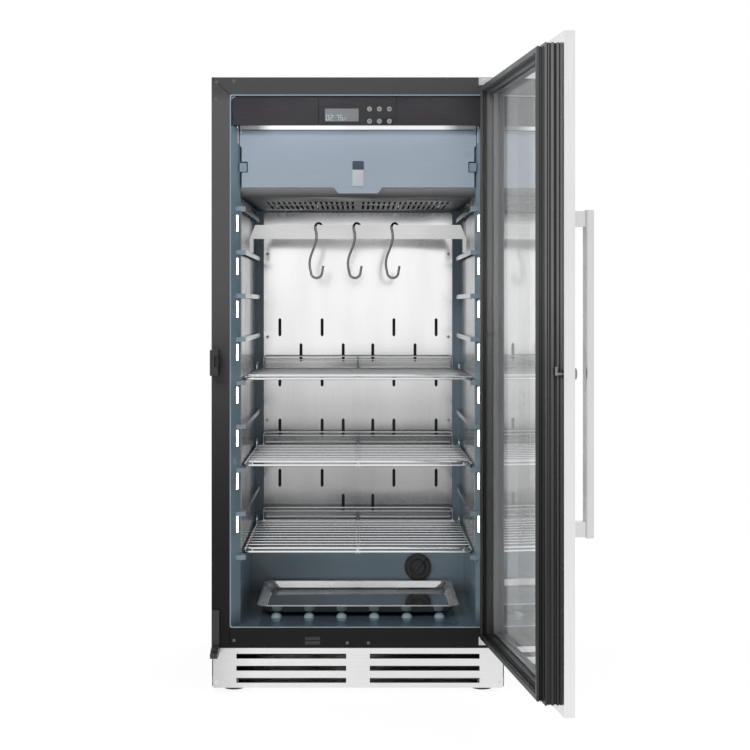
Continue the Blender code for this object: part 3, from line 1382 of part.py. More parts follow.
def make_shelf(name, level):
    """A wire shelf: a rod loop, wires across it, a centre support and a back guard."""
    z = level_height(level) + LEDGE_RISE + FIT + SHELF_ROD
    outline = rounded(-SHELF_HALF, SHELF_HALF, SHELF_FRONT, SHELF_REAR, SHELF_CORNER, 1)
    loop = tube([(x, depth, z) for x, depth in outline], SHELF_ROD, True)
    shelf = add_piece(name, loop, CHROME, at(0, SHELF_FRONT, z))
    shade_round(loop)
    wire_z = z + SHELF_WIRE_LIFT
    wires = []
    for step in range(1, SHELF_WIRE_COUNT + 1):
        depth = SHELF_FRONT + (SHELF_REAR - SHELF_FRONT) * step / (SHELF_WIRE_COUNT + 1)
        wires.append(((-SHELF_HALF, depth, wire_z), (SHELF_HALF, depth, wire_z)))
    join(shelf, rods(wires, SHELF_WIRE, WIRE_SIDES))
    supports = []
    under = z - SHELF_SUPPORT_DROP
    for x in (-SHELF_SUPPORT, SHELF_SUPPORT):
        supports.append(((x, SHELF_FRONT, under), (x, SHELF_REAR, under)))
    join(shelf, rods(supports, SHELF_SUPPORT_ROD))
    foot = z - SHELF_WIRE / 4
    guard = [
        (-GUARD_HALF, SHELF_REAR, foot),
        (-GUARD_HALF, SHELF_REAR, z + GUARD_HIGH),
        (GUARD_HALF, SHELF_REAR, z + GUARD_HIGH),
        (GUARD_HALF, SHELF_REAR, foot),
    ]
    join(shelf, tube(guard, SHELF_WIRE))
    legs = []
    tops = []
    end = SIDE_LOOP_FRONT + SIDE_LOOP_LENGTH
    high = z + SIDE_LOOP_HIGH
    for x in (-SHELF_HALF, SHELF_HALF):
        legs += [((x, depth, foot), (x, depth, high)) for depth in (SIDE_LOOP_FRONT, end)]
        tops.append(((x, SIDE_LOOP_FRONT - SHELF_WIRE, high), (x, end + SHELF_WIRE, high)))
    join(shelf, rods(legs, SHELF_SUPPORT_ROD))
    join(shelf, rods(tops, SHELF_WIRE))
    rail_z = z + SHELF_RAIL_LIFT
    half = SHELF_HALF - SHELF_CORNER
    join(shelf, rods([((-half, SHELF_FRONT, rail_z), (half, SHELF_FRONT, rail_z))], SHELF_ROD))
    middle_z = z + GUARD_MIDDLE
    guard = ((-GUARD_HALF, SHELF_REAR, middle_z), (GUARD_HALF, SHELF_REAR, middle_z))
    join(shelf, rods([guard], SHELF_WIRE))
    uprights = [((0, SHELF_REAR, foot), (0, SHELF_REAR, z + GUARD_HIGH))]
    inner = half - SHELF_ROD * 2
    uprights += [((x, SHELF_FRONT, foot), (x, SHELF_FRONT, rail_z)) for x in (-inner, 0, inner)]
    join(shelf, rods(uprights, SHELF_WIRE))


def make_drip_tray():
    low = RIB_TOP + FIT
    high = low + TRAY_HEIGHT
    rear = TRAY_FRONT + TRAY_LENGTH

    def outline(inset):
        radius = TRAY_CORNER - inset
        return rounded(-TRAY_HALF + inset, TRAY_HALF - inset, TRAY_FRONT + inset, rear - inset, radius)

    body = plate([outline(TRAY_RIM)], "top", low, high - TRAY_RIM_THICK / 2)
    tray = add_piece("drip_tray", body, STAINLESS, at(0, TRAY_FRONT, low))
    join(tray, plate([outline(0)], "top", high - TRAY_RIM_THICK, high))
    cut(tray, plate([outline(TRAY_RIM + TRAY_WALL)], "top", low + TRAY_WALL, high + OVERRUN))


def make_filter():
    seat = HUMP_FACE - FILTER_RIM
    duct_form = disc(FILTER_X, (seat, MACHINE_FRONT), FILTER_Z, FILTER_DUCT)
    duct = add_piece("filter_housing", duct_form, BLACK_PLASTIC)
    cut(duct, disc(FILTER_X, (seat - OVERRUN, MACHINE_FRONT + OVERRUN), FILTER_Z, FILTER_BORE, BORE_SIDES))
    rear = seat - FIT
    front = rear - FILTER_CAP_DEPTH
    cap = add_piece("filter_cap", disc(FILTER_X, (front, rear), FILTER_Z, FILTER_CAP, BORE_SIDES),
                    BLACK_PLASTIC, at(FILTER_X, rear, FILTER_Z))
    floor = front + FILTER_RIM
    cut(cap, disc(FILTER_X, (front - OVERRUN, floor), FILTER_Z, FILTER_CAP - FILTER_RIM))
    overlap = FILTER_RIM / 2
    join(cap, disc(FILTER_X, (front - FILTER_RING_DEPTH, floor + overlap), FILTER_Z, FILTER_RING))
    boss = (rear - overlap, rear + FILTER_BOSS_LENGTH)
    join(cap, disc(FILTER_X, boss, FILTER_Z, FILTER_BORE - FIT, BORE_SIDES))
    grip = bmesh.new()
    size = (2 * (FILTER_CAP - FILTER_RIM / 2), FILTER_GRIP_RISE + overlap, 2 * FILTER_GRIP_HALF, 1)
    middle = at(FILTER_X, floor - FILTER_GRIP_RISE / 2 + overlap / 2, FILTER_Z)
    turn = Matrix.Rotation(-FILTER_GRIP_TURN, 4, "Y")
    bmesh.ops.create_cube(grip, size=1, matrix=Matrix.Translation(middle) @ turn @ Matrix.Diagonal(size))
    join(cap, finished(grip))


def make_compressor():
    height = COMPRESSOR_HIGH - COMPRESSOR_LOW
    profile = [(COMPRESSOR_RADIUS * out, COMPRESSOR_LOW + height * up) for out, up in COMPRESSOR_SHARES]
    body = turned("compressor", profile, BLACK_PAINT, at(COMPRESSOR_X, COMPRESSOR_DEPTH, 0))
    x = (COMPRESSOR_X - COMPRESSOR_PLATE_X, COMPRESSOR_X + COMPRESSOR_PLATE_X)
    depth = (COMPRESSOR_DEPTH - COMPRESSOR_PLATE_Y, COMPRESSOR_DEPTH + COMPRESSOR_PLATE_Y)
    foot = COMPRESSOR_LOW - COMPRESSOR_PLATE_THICK / 2
    join(body, boxes((x, depth, (foot, foot + COMPRESSOR_PLATE_THICK))))
    legs = []
    for across in (x[0] + GROMMET_RADIUS, x[1] - GROMMET_RADIUS):
        for back in (depth[0] + GROMMET_RADIUS, depth[1] - GROMMET_RADIUS):
            legs.append(((across, back, PAN_TOP), (across, back, foot + COMPRESSOR_PLATE_THICK / 2)))
    join(body, rods(legs, GROMMET_RADIUS, 10))
    middle = (COMPRESSOR_LOW + COMPRESSOR_HIGH) / 2
    terminal_x = (COMPRESSOR_X, COMPRESSOR_X + TERMINAL_DEPTH)
    terminal_depth = (COMPRESSOR_DEPTH - TERMINAL_HALF, COMPRESSOR_DEPTH + TERMINAL_HALF)
    join(body, boxes((terminal_x, terminal_depth, (middle - TERMINAL_HALF, middle + TERMINAL_HALF / 2))))


def make_evaporation_pan():
    low = COMPRESSOR_HIGH + FIT
    high = low + BOWL_HEIGHT
    x = (COMPRESSOR_X - BOWL_HALF_X, COMPRESSOR_X + BOWL_HALF_X)
    depth = (COMPRESSOR_DEPTH - BOWL_HALF_Y, COMPRESSOR_DEPTH + BOWL_HALF_Y)
    pan = add_piece("evaporation_pan", boxes((x, depth, (low, high))), BLACK_PLASTIC)
    inner_x = (x[0] + BOWL_WALL, x[1] - BOWL_WALL)
    inner_depth = (depth[0] + BOWL_WALL, depth[1] - BOWL_WALL)
    cut(pan, boxes((inner_x, inner_depth, (low + BOWL_WALL, high + OVERRUN))))
    start = (COMPRESSOR_X, DRAIN_DEPTH, low + DRAIN_ABOVE_PAN)
    end = (COMPRESSOR_X, DRAIN_DEPTH, HUMP_TOP - LINER_WALL - FIT)
    drain = add_piece("drain_tube", rods([(start, end)], DRAIN_RADIUS, ROUND_SIDES), BLACK_PLASTIC)
    low_end = (start[0], start[1], start[2] - OVERRUN)
    high_end = (end[0], end[1], end[2] + OVERRUN)
    cut(drain, rods([(low_end, high_end)], DRAIN_BORE, ROUND_SIDES))


# The door is built closed and turned open round its pivot


def door_box(across, out, z):
    """A box in the door's own measures, in the closed position."""
    x = (HALF_WIDTH - across[1], HALF_WIDTH - across[0])
    return x, (-DOOR_GAP - out[1], -DOOR_GAP - out[0]), z


def door_ring(outer, inner, out):
    """A rectangular ring on the door, inset from its full size."""
    left = -HALF_WIDTH
    outlines = [
        rectangle(left + outer, -left - outer, DOOR_LOW + outer, DOOR_HIGH - outer),
        rectangle(left + inner, -left - inner, DOOR_LOW + inner, DOOR_HIGH - inner),
    ]
    return plate(outlines, "front", -DOOR_GAP - out[1], -DOOR_GAP - out[0])


def door_pane(inset, out):
    outline = rectangle(-HALF_WIDTH + inset, HALF_WIDTH - inset, DOOR_LOW + inset, DOOR_HIGH - inset)
    return plate([outline], "front", -DOOR_GAP - out[1], -DOOR_GAP - out[0])


def make_door():
    hinge = bpy.data.objects.new("door_hinge", None)
    PARTS.objects.link(hinge)
    hinge.location = PIVOT
    hinge.rotation_euler = (0, 0, DOOR_OPEN)

    def door_piece(name, mesh, slot, origin=PIVOT):
        return add_piece(name, mesh, slot, origin, hinge, PIVOT)

    frame = door_piece("door_frame", door_ring(0, DOOR_WINDOW, (PROFILE_DEPTH, DOOR_OUTER)), STAINLESS)
    rebate = (PROFILE_DEPTH - OVERRUN, DOOR_OUTER - DOOR_SHEET_LIP)
    cut(frame, door_pane(DOOR_REBATE, rebate))
    lock_x = HALF_WIDTH - LOCK_ACROSS
    through = (-DOOR_GAP - DOOR_OUTER - OVERRUN, -DOOR_GAP - PROFILE_DEPTH + OVERRUN)
    cut(frame, disc(lock_x, through, LOCK_Z, LOCK_BARREL + FIT))
    bevel(frame, BAR_EDGE)

    profile = door_piece("inner_profile", door_ring(PROFILE_INSET, PROFILE_INSET + PROFILE_FACE,
                                                    (0, PROFILE_DEPTH - FIT)), BLACK_PLASTIC)
    cut(profile, door_pane(PROFILE_INSET + PROFILE_REBATE, (GLASS_INSET, PROFILE_DEPTH + OVERRUN)))
    low = DOOR_LOW + PROFILE_INSET
    high = DOOR_HIGH - PROFILE_INSET
    skid_x = HALF_WIDTH - SKID_ACROSS
    skid = [
        (skid_x - SKID_HALF, low + SKID_TAPER / 2),
        (skid_x - SKID_HALF, low - SKID_DROP + SKID_TAPER),
        (skid_x - SKID_HALF + SKID_TAPER, low - SKID_DROP),
        (skid_x + SKID_HALF - SKID_TAPER, low - SKID_DROP),
        (skid_x + SKID_HALF, low - SKID_DROP + SKID_TAPER),
        (skid_x + SKID_HALF, low + SKID_TAPER / 2),
    ]
    skid_depth = -DOOR_GAP - SKID_BACK
    join(profile, plate([skid], "front", skid_depth - SKID_DEPTH, skid_depth))
    pin = HINGE_PIN + HINGE_PIN_CLEARANCE
    pin_depth = -DOOR_GAP - PIVOT_OUT
    deep = HINGE_PIN_LENGTH + FIT
    ends = [
        ((PIVOT.x, pin_depth, low - OVERRUN), (PIVOT.x, pin_depth, low + deep)),
        ((PIVOT.x, pin_depth, high - deep), (PIVOT.x, pin_depth, high + OVERRUN)),
    ]
    cut(profile, rods(ends, pin, ROUND_SIDES))

    glass_edge = PROFILE_INSET + PROFILE_REBATE + FIT
    first = (GLASS_INSET + FIT, GLASS_INSET + FIT + GLASS_THICK)
    last_end = DOOR_OUTER - DOOR_SHEET_LIP - FIT
    second = (last_end - GLASS_THICK, last_end)
    door_piece("inner_pane", door_pane(glass_edge, first), GLASS)
    door_piece("outer_pane", door_pane(glass_edge, second), GLASS)
    gap = (first[1] + FIT, second[0] - FIT)
    door_piece("pane_spacer", door_ring(glass_edge, glass_edge + SPACER_WIDTH, gap), BLACK_PLASTIC)
    seal = PROFILE_INSET + GASKET_INSET
    door_piece("gasket", door_ring(seal, seal + GASKET_WIDTH, (-GASKET_THICK, -FIT)), RUBBER)
    make_handle(door_piece)
    make_lock(door_piece, lock_x)


def make_handle(door_piece):
    across = (HANDLE_ACROSS - HANDLE_HALF, HANDLE_ACROSS + HANDLE_HALF)
    out = (DOOR_OUTER + HANDLE_REACH - HANDLE_THICK, DOOR_OUTER + HANDLE_REACH)
    high = HANDLE_LOW + HANDLE_LENGTH
    handle = door_piece("handle", boxes(door_box(across, out, (HANDLE_LOW, high))), STAINLESS)
    bevel(handle, HANDLE_EDGE)
    post = (HANDLE_ACROSS - HANDLE_POST_HALF, HANDLE_ACROSS + HANDLE_POST_HALF)
    reach = (DOOR_OUTER + FIT, out[0] + HANDLE_THICK / 2)
    inside = HANDLE_EDGE
    low_post = door_box(post, reach, (HANDLE_LOW + inside, HANDLE_LOW + HANDLE_POST_TALL))
    high_post = door_box(post, reach, (high - HANDLE_POST_TALL, high - inside))
    join(handle, boxes(low_post, high_post))


def make_lock(door_piece, lock_x):
    """A key cylinder through the door's edge, with the cam that it turns."""
    face = -DOOR_GAP - DOOR_OUTER
    rear = -DOOR_GAP - PROFILE_DEPTH
    origin = at(lock_x, face, LOCK_Z)
    collar = (face - FIT - LOCK_COLLAR_THICK, face - FIT)
    lock = door_piece("lock_cylinder", disc(lock_x, collar, LOCK_Z, LOCK_COLLAR), STAINLESS, origin)
    overlap = LOCK_COLLAR_THICK / 2
    join(lock, disc(lock_x, (face - FIT - overlap, rear), LOCK_Z, LOCK_BARREL))
    cam_rear = -DOOR_GAP - LOCK_CAM_START
    join(lock, disc(lock_x, (rear - overlap, cam_rear - LOCK_CAM_THICK / 2), LOCK_Z, LOCK_SHAFT, 10))
    cam_x = (lock_x - LOCK_CAM_HALF, lock_x + LOCK_CAM_HALF)
    cam_z = (LOCK_Z - LOCK_CAM_HALF, LOCK_Z + LOCK_CAM_LENGTH)
    join(lock, boxes((cam_x, (cam_rear - LOCK_CAM_THICK, cam_rear), cam_z)))
    slot_x = (lock_x - LOCK_SLOT_HALF, lock_x + LOCK_SLOT_HALF)
    slot_depth = (collar[0] - OVERRUN, collar[0] + overlap)
    cut(lock, boxes((slot_x, slot_depth, (LOCK_Z - LOCK_BARREL / 2, LOCK_Z + LOCK_BARREL / 2))))


def make_hinge(name, flange_low, arm_low, pin_ends):
    """A plate on the frame with an arm that carries the door's pin."""
    front = -HINGE_SHEET - FIT
    flange = ((HINGE_IN, HINGE_OUT), (front, -FIT), (flange_low, flange_low + HINGE_HEIGHT))
    bracket = add_piece(name, boxes(flange), GALVANISED)
    arm = rounded(HINGE_ARM_IN, HINGE_ARM_OUT, -HINGE_ARM_REACH, front + HINGE_SHEET / 2, HINGE_PIN)
    arm = [(x, depth) for x, depth in arm if depth < front - HINGE_SHEET]
    rear = front + HINGE_SHEET * HINGE_ROOT_SHARE
    arm = [(HINGE_ARM_OUT, rear), (HINGE_ARM_IN, rear)] + arm
    levels = (arm_low, arm_low + HINGE_ARM_THICK)
    join(bracket, hull([at(x, depth, z) for x, depth in arm for z in levels]))
    depth = -DOOR_GAP - PIVOT_OUT
    pin = ((PIVOT.x, depth, pin_ends[0]), (PIVOT.x, depth, pin_ends[1]))
    join(bracket, rods([pin], HINGE_PIN, ROUND_SIDES))


def make_hinges():
    high = DOOR_HIGH - PROFILE_INSET + HINGE_GAP
    pins = (high - HINGE_GAP - HINGE_PIN_LENGTH, high + HINGE_ARM_THICK / 2)
    make_hinge("hinge_top", high, high + FIT, pins)
    low = DOOR_LOW + PROFILE_INSET
    arm = low - HINGE_GAP - HINGE_ARM_THICK
    pins = (arm + HINGE_ARM_THICK / 2, low + HINGE_PIN_LENGTH)
    make_hinge("hinge_bottom", arm - HINGE_LOW_DROP, arm, pins)


def make_strike():
    x = (-HALF_WIDTH, -STRIKE_IN)
    strike = add_piece("lock_strike", boxes((x, (-STRIKE_REACH, -FIT),
                                             (LOCK_Z - STRIKE_HALF_HEIGHT, LOCK_Z + STRIKE_HALF_HEIGHT))),
                       BLACK_PLASTIC)
    open_x = (-STRIKE_IN - STRIKE_PASS, -STRIKE_IN + OVERRUN)
    cam_rear = -DOOR_GAP - LOCK_CAM_START
    cam_z = LOCK_Z + LOCK_CAM_LENGTH
    tall = (LOCK_Z - STRIKE_PASS, cam_z + STRIKE_PLAY)
    passage = (open_x, (-STRIKE_REACH - OVERRUN, cam_rear + STRIKE_PLAY), tall)
    cut(strike, boxes(passage))
    pocket_x = (-STRIKE_IN - STRIKE_POCKET + STRIKE_PLAY, -STRIKE_IN + OVERRUN)
    pocket_depth = (cam_rear - LOCK_CAM_THICK - STRIKE_PLAY, cam_rear + STRIKE_PLAY + FIT)
    pocket_z = (tall[0] + FIT, tall[1] - FIT)
    cut(strike, boxes((pocket_x, pocket_depth, pocket_z)))


def make_support_ramp():
    """The bracket that the closing door's lower edge rides on."""
    under = DOOR_LOW - GRILLE_GAP
    thin = RAMP_REACH * RAMP_BACK_SHARE
    beside = -STRIKE_REACH
    outline = [
        (-FIT, RAMP_LOW + RAMP_LIP),
        (-FIT, RAMP_HIGH),
        (-thin, RAMP_HIGH),
        (-2 * thin, RAMP_HIGH - 2 * thin),
        (-2 * thin, under + 2 * thin),
        (beside, under + thin),
        (beside, under),
        (-RAMP_REACH, under),
        (-RAMP_REACH, under - thin),
        (-RAMP_REACH + thin, RAMP_LOW),
        (-2 * thin, RAMP_LOW),
        (-thin, RAMP_LOW + RAMP_LIP),
    ]
    add_piece("support_ramp", plate([outline], "side", -RAMP_OUT, -STRIKE_IN), BLACK_PLASTIC)


make_shell()
make_rear_cover()
make_insulation()
make_liner()
make_frame_bars()
make_base_pan()
make_feet()
make_plinth_grille()
make_fascia()
make_light_bar()
make_flap()
make_evaporator_cover()
make_coils()
make_fans()
make_back_panel()
make_side_rack("side_rack_left", -1)
make_side_rack("side_rack_right", 1)
make_led_strip("led_strip_left", -1)
make_led_strip("led_strip_right", 1)
make_hanging_bar()
for shelf_name, shelf_level in SHELF_LEVEL_STEPS:
    make_shelf(shelf_name, shelf_level)
make_drip_tray()
make_filter()
make_compressor()
make_evaporation_pan()
make_hinges()
make_strike()
make_support_ramp()
make_door()
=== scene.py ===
"""Looks of the dry aging cabinet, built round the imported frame."""

import math

import bmesh
import bpy
from mathutils import Matrix, Vector


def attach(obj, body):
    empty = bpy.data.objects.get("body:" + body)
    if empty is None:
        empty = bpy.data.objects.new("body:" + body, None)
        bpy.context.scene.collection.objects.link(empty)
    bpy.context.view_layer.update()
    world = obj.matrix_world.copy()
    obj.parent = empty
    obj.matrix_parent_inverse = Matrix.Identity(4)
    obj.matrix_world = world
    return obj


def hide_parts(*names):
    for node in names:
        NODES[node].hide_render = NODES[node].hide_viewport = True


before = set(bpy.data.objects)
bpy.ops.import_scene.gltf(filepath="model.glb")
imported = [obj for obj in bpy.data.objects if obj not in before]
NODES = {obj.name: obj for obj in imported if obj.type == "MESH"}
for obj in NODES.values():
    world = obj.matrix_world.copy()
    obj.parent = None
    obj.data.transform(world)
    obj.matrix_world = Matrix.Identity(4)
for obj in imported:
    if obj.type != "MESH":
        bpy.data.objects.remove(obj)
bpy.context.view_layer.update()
bpy.context.view_layer.update()

# ------------------------ camera
PHOTO_SIZE = 750
SENSOR = 36.0
FOCAL_PIXELS = 1717.8
CAMERA_AT = (0.0, -3.808, 0.7775)
PRINCIPAL = (358.0, 305.0)

camera_data = bpy.data.cameras.new("camera")
camera_data.sensor_width = SENSOR
camera_data.lens = SENSOR * FOCAL_PIXELS / PHOTO_SIZE
camera_data.shift_x = (PHOTO_SIZE / 2 - PRINCIPAL[0]) / PHOTO_SIZE
camera_data.shift_y = (PRINCIPAL[1] - PHOTO_SIZE / 2) / PHOTO_SIZE
camera = bpy.data.objects.new("camera", camera_data)
camera.location = CAMERA_AT
camera.rotation_euler = (math.radians(90), 0, 0)
bpy.context.scene.collection.objects.link(camera)
bpy.context.scene.camera = camera
bpy.context.scene.view_settings.view_transform = "Standard"

# ------------------------ materials
NOISE_LOW, NOISE_HIGH = 0.3, 0.7
WHITE = (1.0, 1.0, 1.0, 1.0)


def put(node, **values):
    """Sets a node's inputs; an underscore stands for the space in an input's name."""
    for key, value in values.items():
        node.inputs[key.replace("_", " ")].default_value = value


class Tree:
    """A material with one Principled shader and short calls for the nodes that feed it."""

    def __init__(self, name, colour, roughness, metallic=0.0, **sockets):
        self.material = bpy.data.materials.new(name)
        self.material.use_nodes = True
        self.tree = self.material.node_tree
        self.shader = self.tree.nodes["Principled BSDF"]
        self.colour = (*colour, 1.0)
        self.roughness = roughness
        put(self.shader, Base_Color=self.colour, Roughness=roughness, Metallic=metallic,
            **sockets)
        self.points = self.node("ShaderNodeTexCoord").outputs["Object"]

    def node(self, kind, **values):
        node = self.tree.nodes.new(kind)
        for key, value in values.items():
            setattr(node, key, value)
        return node

    def link(self, source, target):
        self.tree.links.new(source, target)

    def noise(self, scale, detail=3.0, rough=0.55):
        """Noise of a size per axis, in features per metre."""
        mapping = self.node("ShaderNodeMapping")
        put(mapping, Scale=scale)
        self.link(self.points, mapping.inputs["Vector"])
        noise = self.node("ShaderNodeTexNoise")
        put(noise, Scale=1.0, Detail=detail, Roughness=rough)
        self.link(mapping.outputs["Vector"], noise.inputs["Vector"])
        return noise.outputs["Fac"]

    def span(self, value, low, high, **limits):
        """Maps a value from between low and high, to 0 and 1 unless limits are given."""
        span = self.node("ShaderNodeMapRange")
        put(span, From_Min=low, From_Max=high, **limits)
        self.link(value, span.inputs["Value"])
        return span.outputs["Result"]

    def vary(self, factor, amount):
        """Lightens and darkens the base colour by a factor."""
        low = tuple(max(0.0, value * (1 - amount)) for value in self.colour[:3])
        high = tuple(min(1.0, value * (1 + amount)) for value in self.colour[:3])
        ramp = self.node("ShaderNodeValToRGB")
        first, last = ramp.color_ramp.elements
        first.position, last.position = NOISE_LOW, NOISE_HIGH
        first.color, last.color = (*low, 1.0), (*high, 1.0)
        self.link(factor, ramp.inputs["Fac"])
        self.link(ramp.outputs["Color"], self.shader.inputs["Base Color"])

    def shade(self, axis, stops):
        """Multiplies the base colour along an axis; a stop is a place in metres and a factor."""
        parts = self.node("ShaderNodeSeparateXYZ")
        self.link(self.points, parts.inputs["Vector"])
        start, end = stops[0][0], stops[-1][0]
        ramp = self.node("ShaderNodeValToRGB")
        for index, (place, factor) in enumerate(stops):
            at = (place - start) / (end - start)
            if 0 < index < len(stops) - 1:
                stop = ramp.color_ramp.elements.new(at)
            else:
                stop = ramp.color_ramp.elements[0 if index == 0 else -1]
                stop.position = at
            stop.color = (factor, factor, factor, 1.0)
        self.link(self.span(parts.outputs[axis.upper()], start, end), ramp.inputs["Fac"])
        mix = self.node("ShaderNodeMix", data_type="RGBA", blend_type="MULTIPLY")
        put(mix, Factor=1.0)
        self.over_colour(mix, ramp.outputs["Color"])
        return ramp.outputs["Color"]

    def over_colour(self, mix, source):
        """Puts a mix between the base colour and the shader."""
        socket = self.shader.inputs["Base Color"]
        if socket.is_linked:
            self.link(socket.links[0].from_socket, mix.inputs["A"])
        else:
            put(mix, A=self.colour)
        self.link(source, mix.inputs["B"])
        self.link(mix.outputs["Result"], socket)

    def roughen(self, factor, amount):
        low, high = max(0.02, self.roughness - amount), min(1.0, self.roughness + amount)
        span = self.span(factor, NOISE_LOW, NOISE_HIGH, To_Min=low, To_Max=high)
        self.link(span, self.shader.inputs["Roughness"])

    def bump(self, factor, height, strength):
        bump = self.node("ShaderNodeBump")
        put(bump, Distance=height, Strength=strength)
        self.link(factor, bump.inputs["Height"])
        self.link(bump.outputs["Normal"], self.shader.inputs["Normal"])


def brushed(name, colour, roughness, along, fine=2600.0, coarse=9.0, tone=0.06, height=0.00002,
            shade=None, metallic=1.0, **sockets):
    """Brushed metal: long fine strokes along one axis, over slow cloudy changes."""
    tree = Tree(name, colour, roughness, metallic, **sockets)
    scale = [fine] * 3
    scale["xyz".index(along)] = coarse
    strokes = tree.noise(scale, 2.0, 0.6)
    cloud = tree.noise((7.0, 7.0, 7.0), 2.0)
    tree.vary(strokes, tone)
    tree.roughen(cloud, roughness * 0.3)
    tree.bump(strokes, height, 0.35)
    if shade:
        tree.shade(*shade)
    return tree.material


def moulded(name, colour, roughness, grain=1800.0, tone=0.05, height=0.00003, shade=None,
            mottle=0.2, **sockets):
    """Moulded plastic or powder paint: a fine even grain over slow changes."""
    tree = Tree(name, colour, roughness, 0.0, **sockets)
    fine = tree.noise((grain, grain, grain), 2.0)
    cloud = tree.noise((5.0, 5.0, 5.0), 3.0)
    tree.vary(cloud, tone)
    tree.roughen(cloud, roughness * mottle)
    tree.bump(fine, height, 0.4)
    if shade:
        tree.shade(*shade)
    return tree.material


def glowing(name, colour, strength):
    """A lit surface with a fine grain."""
    tree = Tree(name, colour, 0.4, Emission_Color=(*colour, 1.0), Emission_Strength=strength)
    tree.bump(tree.noise((900.0, 900.0, 900.0), 2.0), 0.00003, 0.3)
    return tree.material


def panel_steel():
    """The rear panel: bright above and darker below as painted light and shade, with upright
    streaks and slow waves.
    """
    tree = Tree("panel_steel", (0.95, 0.95, 0.945), 0.12, 1.0)
    strokes = tree.noise((2200.0, 2200.0, 8.0), 2.0, 0.6)
    streaks = tree.noise((9.0, 9.0, 1.6), 3.0, 0.5)
    waves = tree.noise((4.5, 4.5, 7.0), 1.0, 0.4)
    tree.vary(streaks, 0.09)
    tree.roughen(waves, 0.05)
    tree.bump(waves, 0.004, 0.35)
    # Painted light and shade: full colour high up, darker towards the bottom.
    tree.shade("z", ((0.24, 0.32), (0.36, 0.36), (0.54, 0.54), (0.69, 0.95), (0.80, 1.0),
                     (0.996, 1.0)))
    grain = tree.node("ShaderNodeMix", data_type="RGBA", blend_type="OVERLAY")
    put(grain, Factor=0.10)
    tree.over_colour(grain, strokes)
    return tree.material


def bar_light():
    """The light under the fascia: bright in the middle, dim towards both ends."""
    tree = Tree("bar_light", (0.72, 0.76, 0.80), 0.35, Emission_Strength=0.60)
    factor = tree.shade("x", ((-0.24, 0.12), (-0.205, 0.22), (-0.175, 0.95), (-0.08, 1.0),
                              (0.0, 0.82), (0.17, 0.86), (0.205, 0.20), (0.24, 0.12)))
    tree.bump(tree.noise((60.0, 20.0, 20.0), 2.0), 0.0002, 0.3)
    tree.link(factor, tree.shader.inputs["Emission Color"])
    return tree.material


# Painted shade: the plinth's steel darker towards its left end.
ACROSS_SHADE = ("x", ((-0.2945, 0.74), (-0.21, 1.0), (0.2945, 0.97)))
# Painted light and shade: the cover lighter at the front of its sloped lip, darker on the flat
# underside behind it.
COVER_SHADE = ("y", ((-0.286, 1.0), (-0.266, 0.36), (-0.258, 0.18), (0.255, 0.12)))
# Painted light and shade: the frame lighter towards the top and darker towards the bottom, its
# top bar darker than the sides just below it.
FRAME_SHADE = ("z", ((0.10, 0.10), (0.28, 0.14), (0.37, 0.18), (0.46, 0.26), (0.55, 0.40),
                     (0.74, 0.75), (0.84, 0.94), (1.19, 1.0), (1.21, 0.70), (1.24, 0.70)))
# Painted light and shade: the door's profile and seal lighter towards the top and darker towards
# the bottom.
PROFILE_SHADE = ("z", ((0.10, 0.10), (0.28, 0.14), (0.38, 0.19), (0.48, 0.28), (0.58, 0.39),
                       (0.685, 0.62), (0.80, 1.0), (1.24, 1.0)))
# Painted shade: the liner darkest at the floor, a little darker below the middle, full colour
# higher up.
LINER_SHADE = ("z", ((0.124, 0.42), (0.134, 0.55), (0.16, 0.92), (0.24, 0.92), (0.45, 0.84),
                     (0.70, 1.0), (1.2, 1.0)))
# Painted light and shade: the flap a little darker on its left than on its right.
FLAP_SHADE = ("x", ((-0.242, 0.90), (0.0, 0.92), (0.242, 1.0)))
WIRE_GRAIN = {"fine": 900.0, "coarse": 900.0}

STAINLESS_UP = brushed("stainless_up", (0.80, 0.80, 0.80), 0.30, "z")
STAINLESS_ACROSS = brushed("stainless_across", (0.80, 0.80, 0.80), 0.30, "x",
                           shade=ACROSS_SHADE)
BAR_STEEL = brushed("bar_steel", (0.70, 0.70, 0.70), 0.26, "x")
COVER_STEEL = brushed("cover_steel", (0.64, 0.64, 0.645), 0.45, "x", tone=0.10,
                      shade=COVER_SHADE, metallic=0.0, IOR=1.25)
# Painted reflection: the racks' steel darker than the other stainless and tinted blue like the
# liner round it.
RACK_STEEL = brushed("rack_steel", (0.36, 0.375, 0.40), 0.20, "y")
HANDLE_STEEL = brushed("handle_steel", (0.69, 0.69, 0.69), 0.28, "z")
# Painted highlight: a light copy of the tray's steel for its inner walls and rim.
TRAY_RIM_LIT = brushed("tray_rim_lit", (0.90, 0.90, 0.90), 0.30, "x", tone=0.04, metallic=0.8)
# Painted shade: a dark copy of the plinth's steel for the lips inside its slots.
LIP_STEEL_SHADED = brushed("lip_steel_shaded", (0.30, 0.30, 0.30), 0.35, "x")
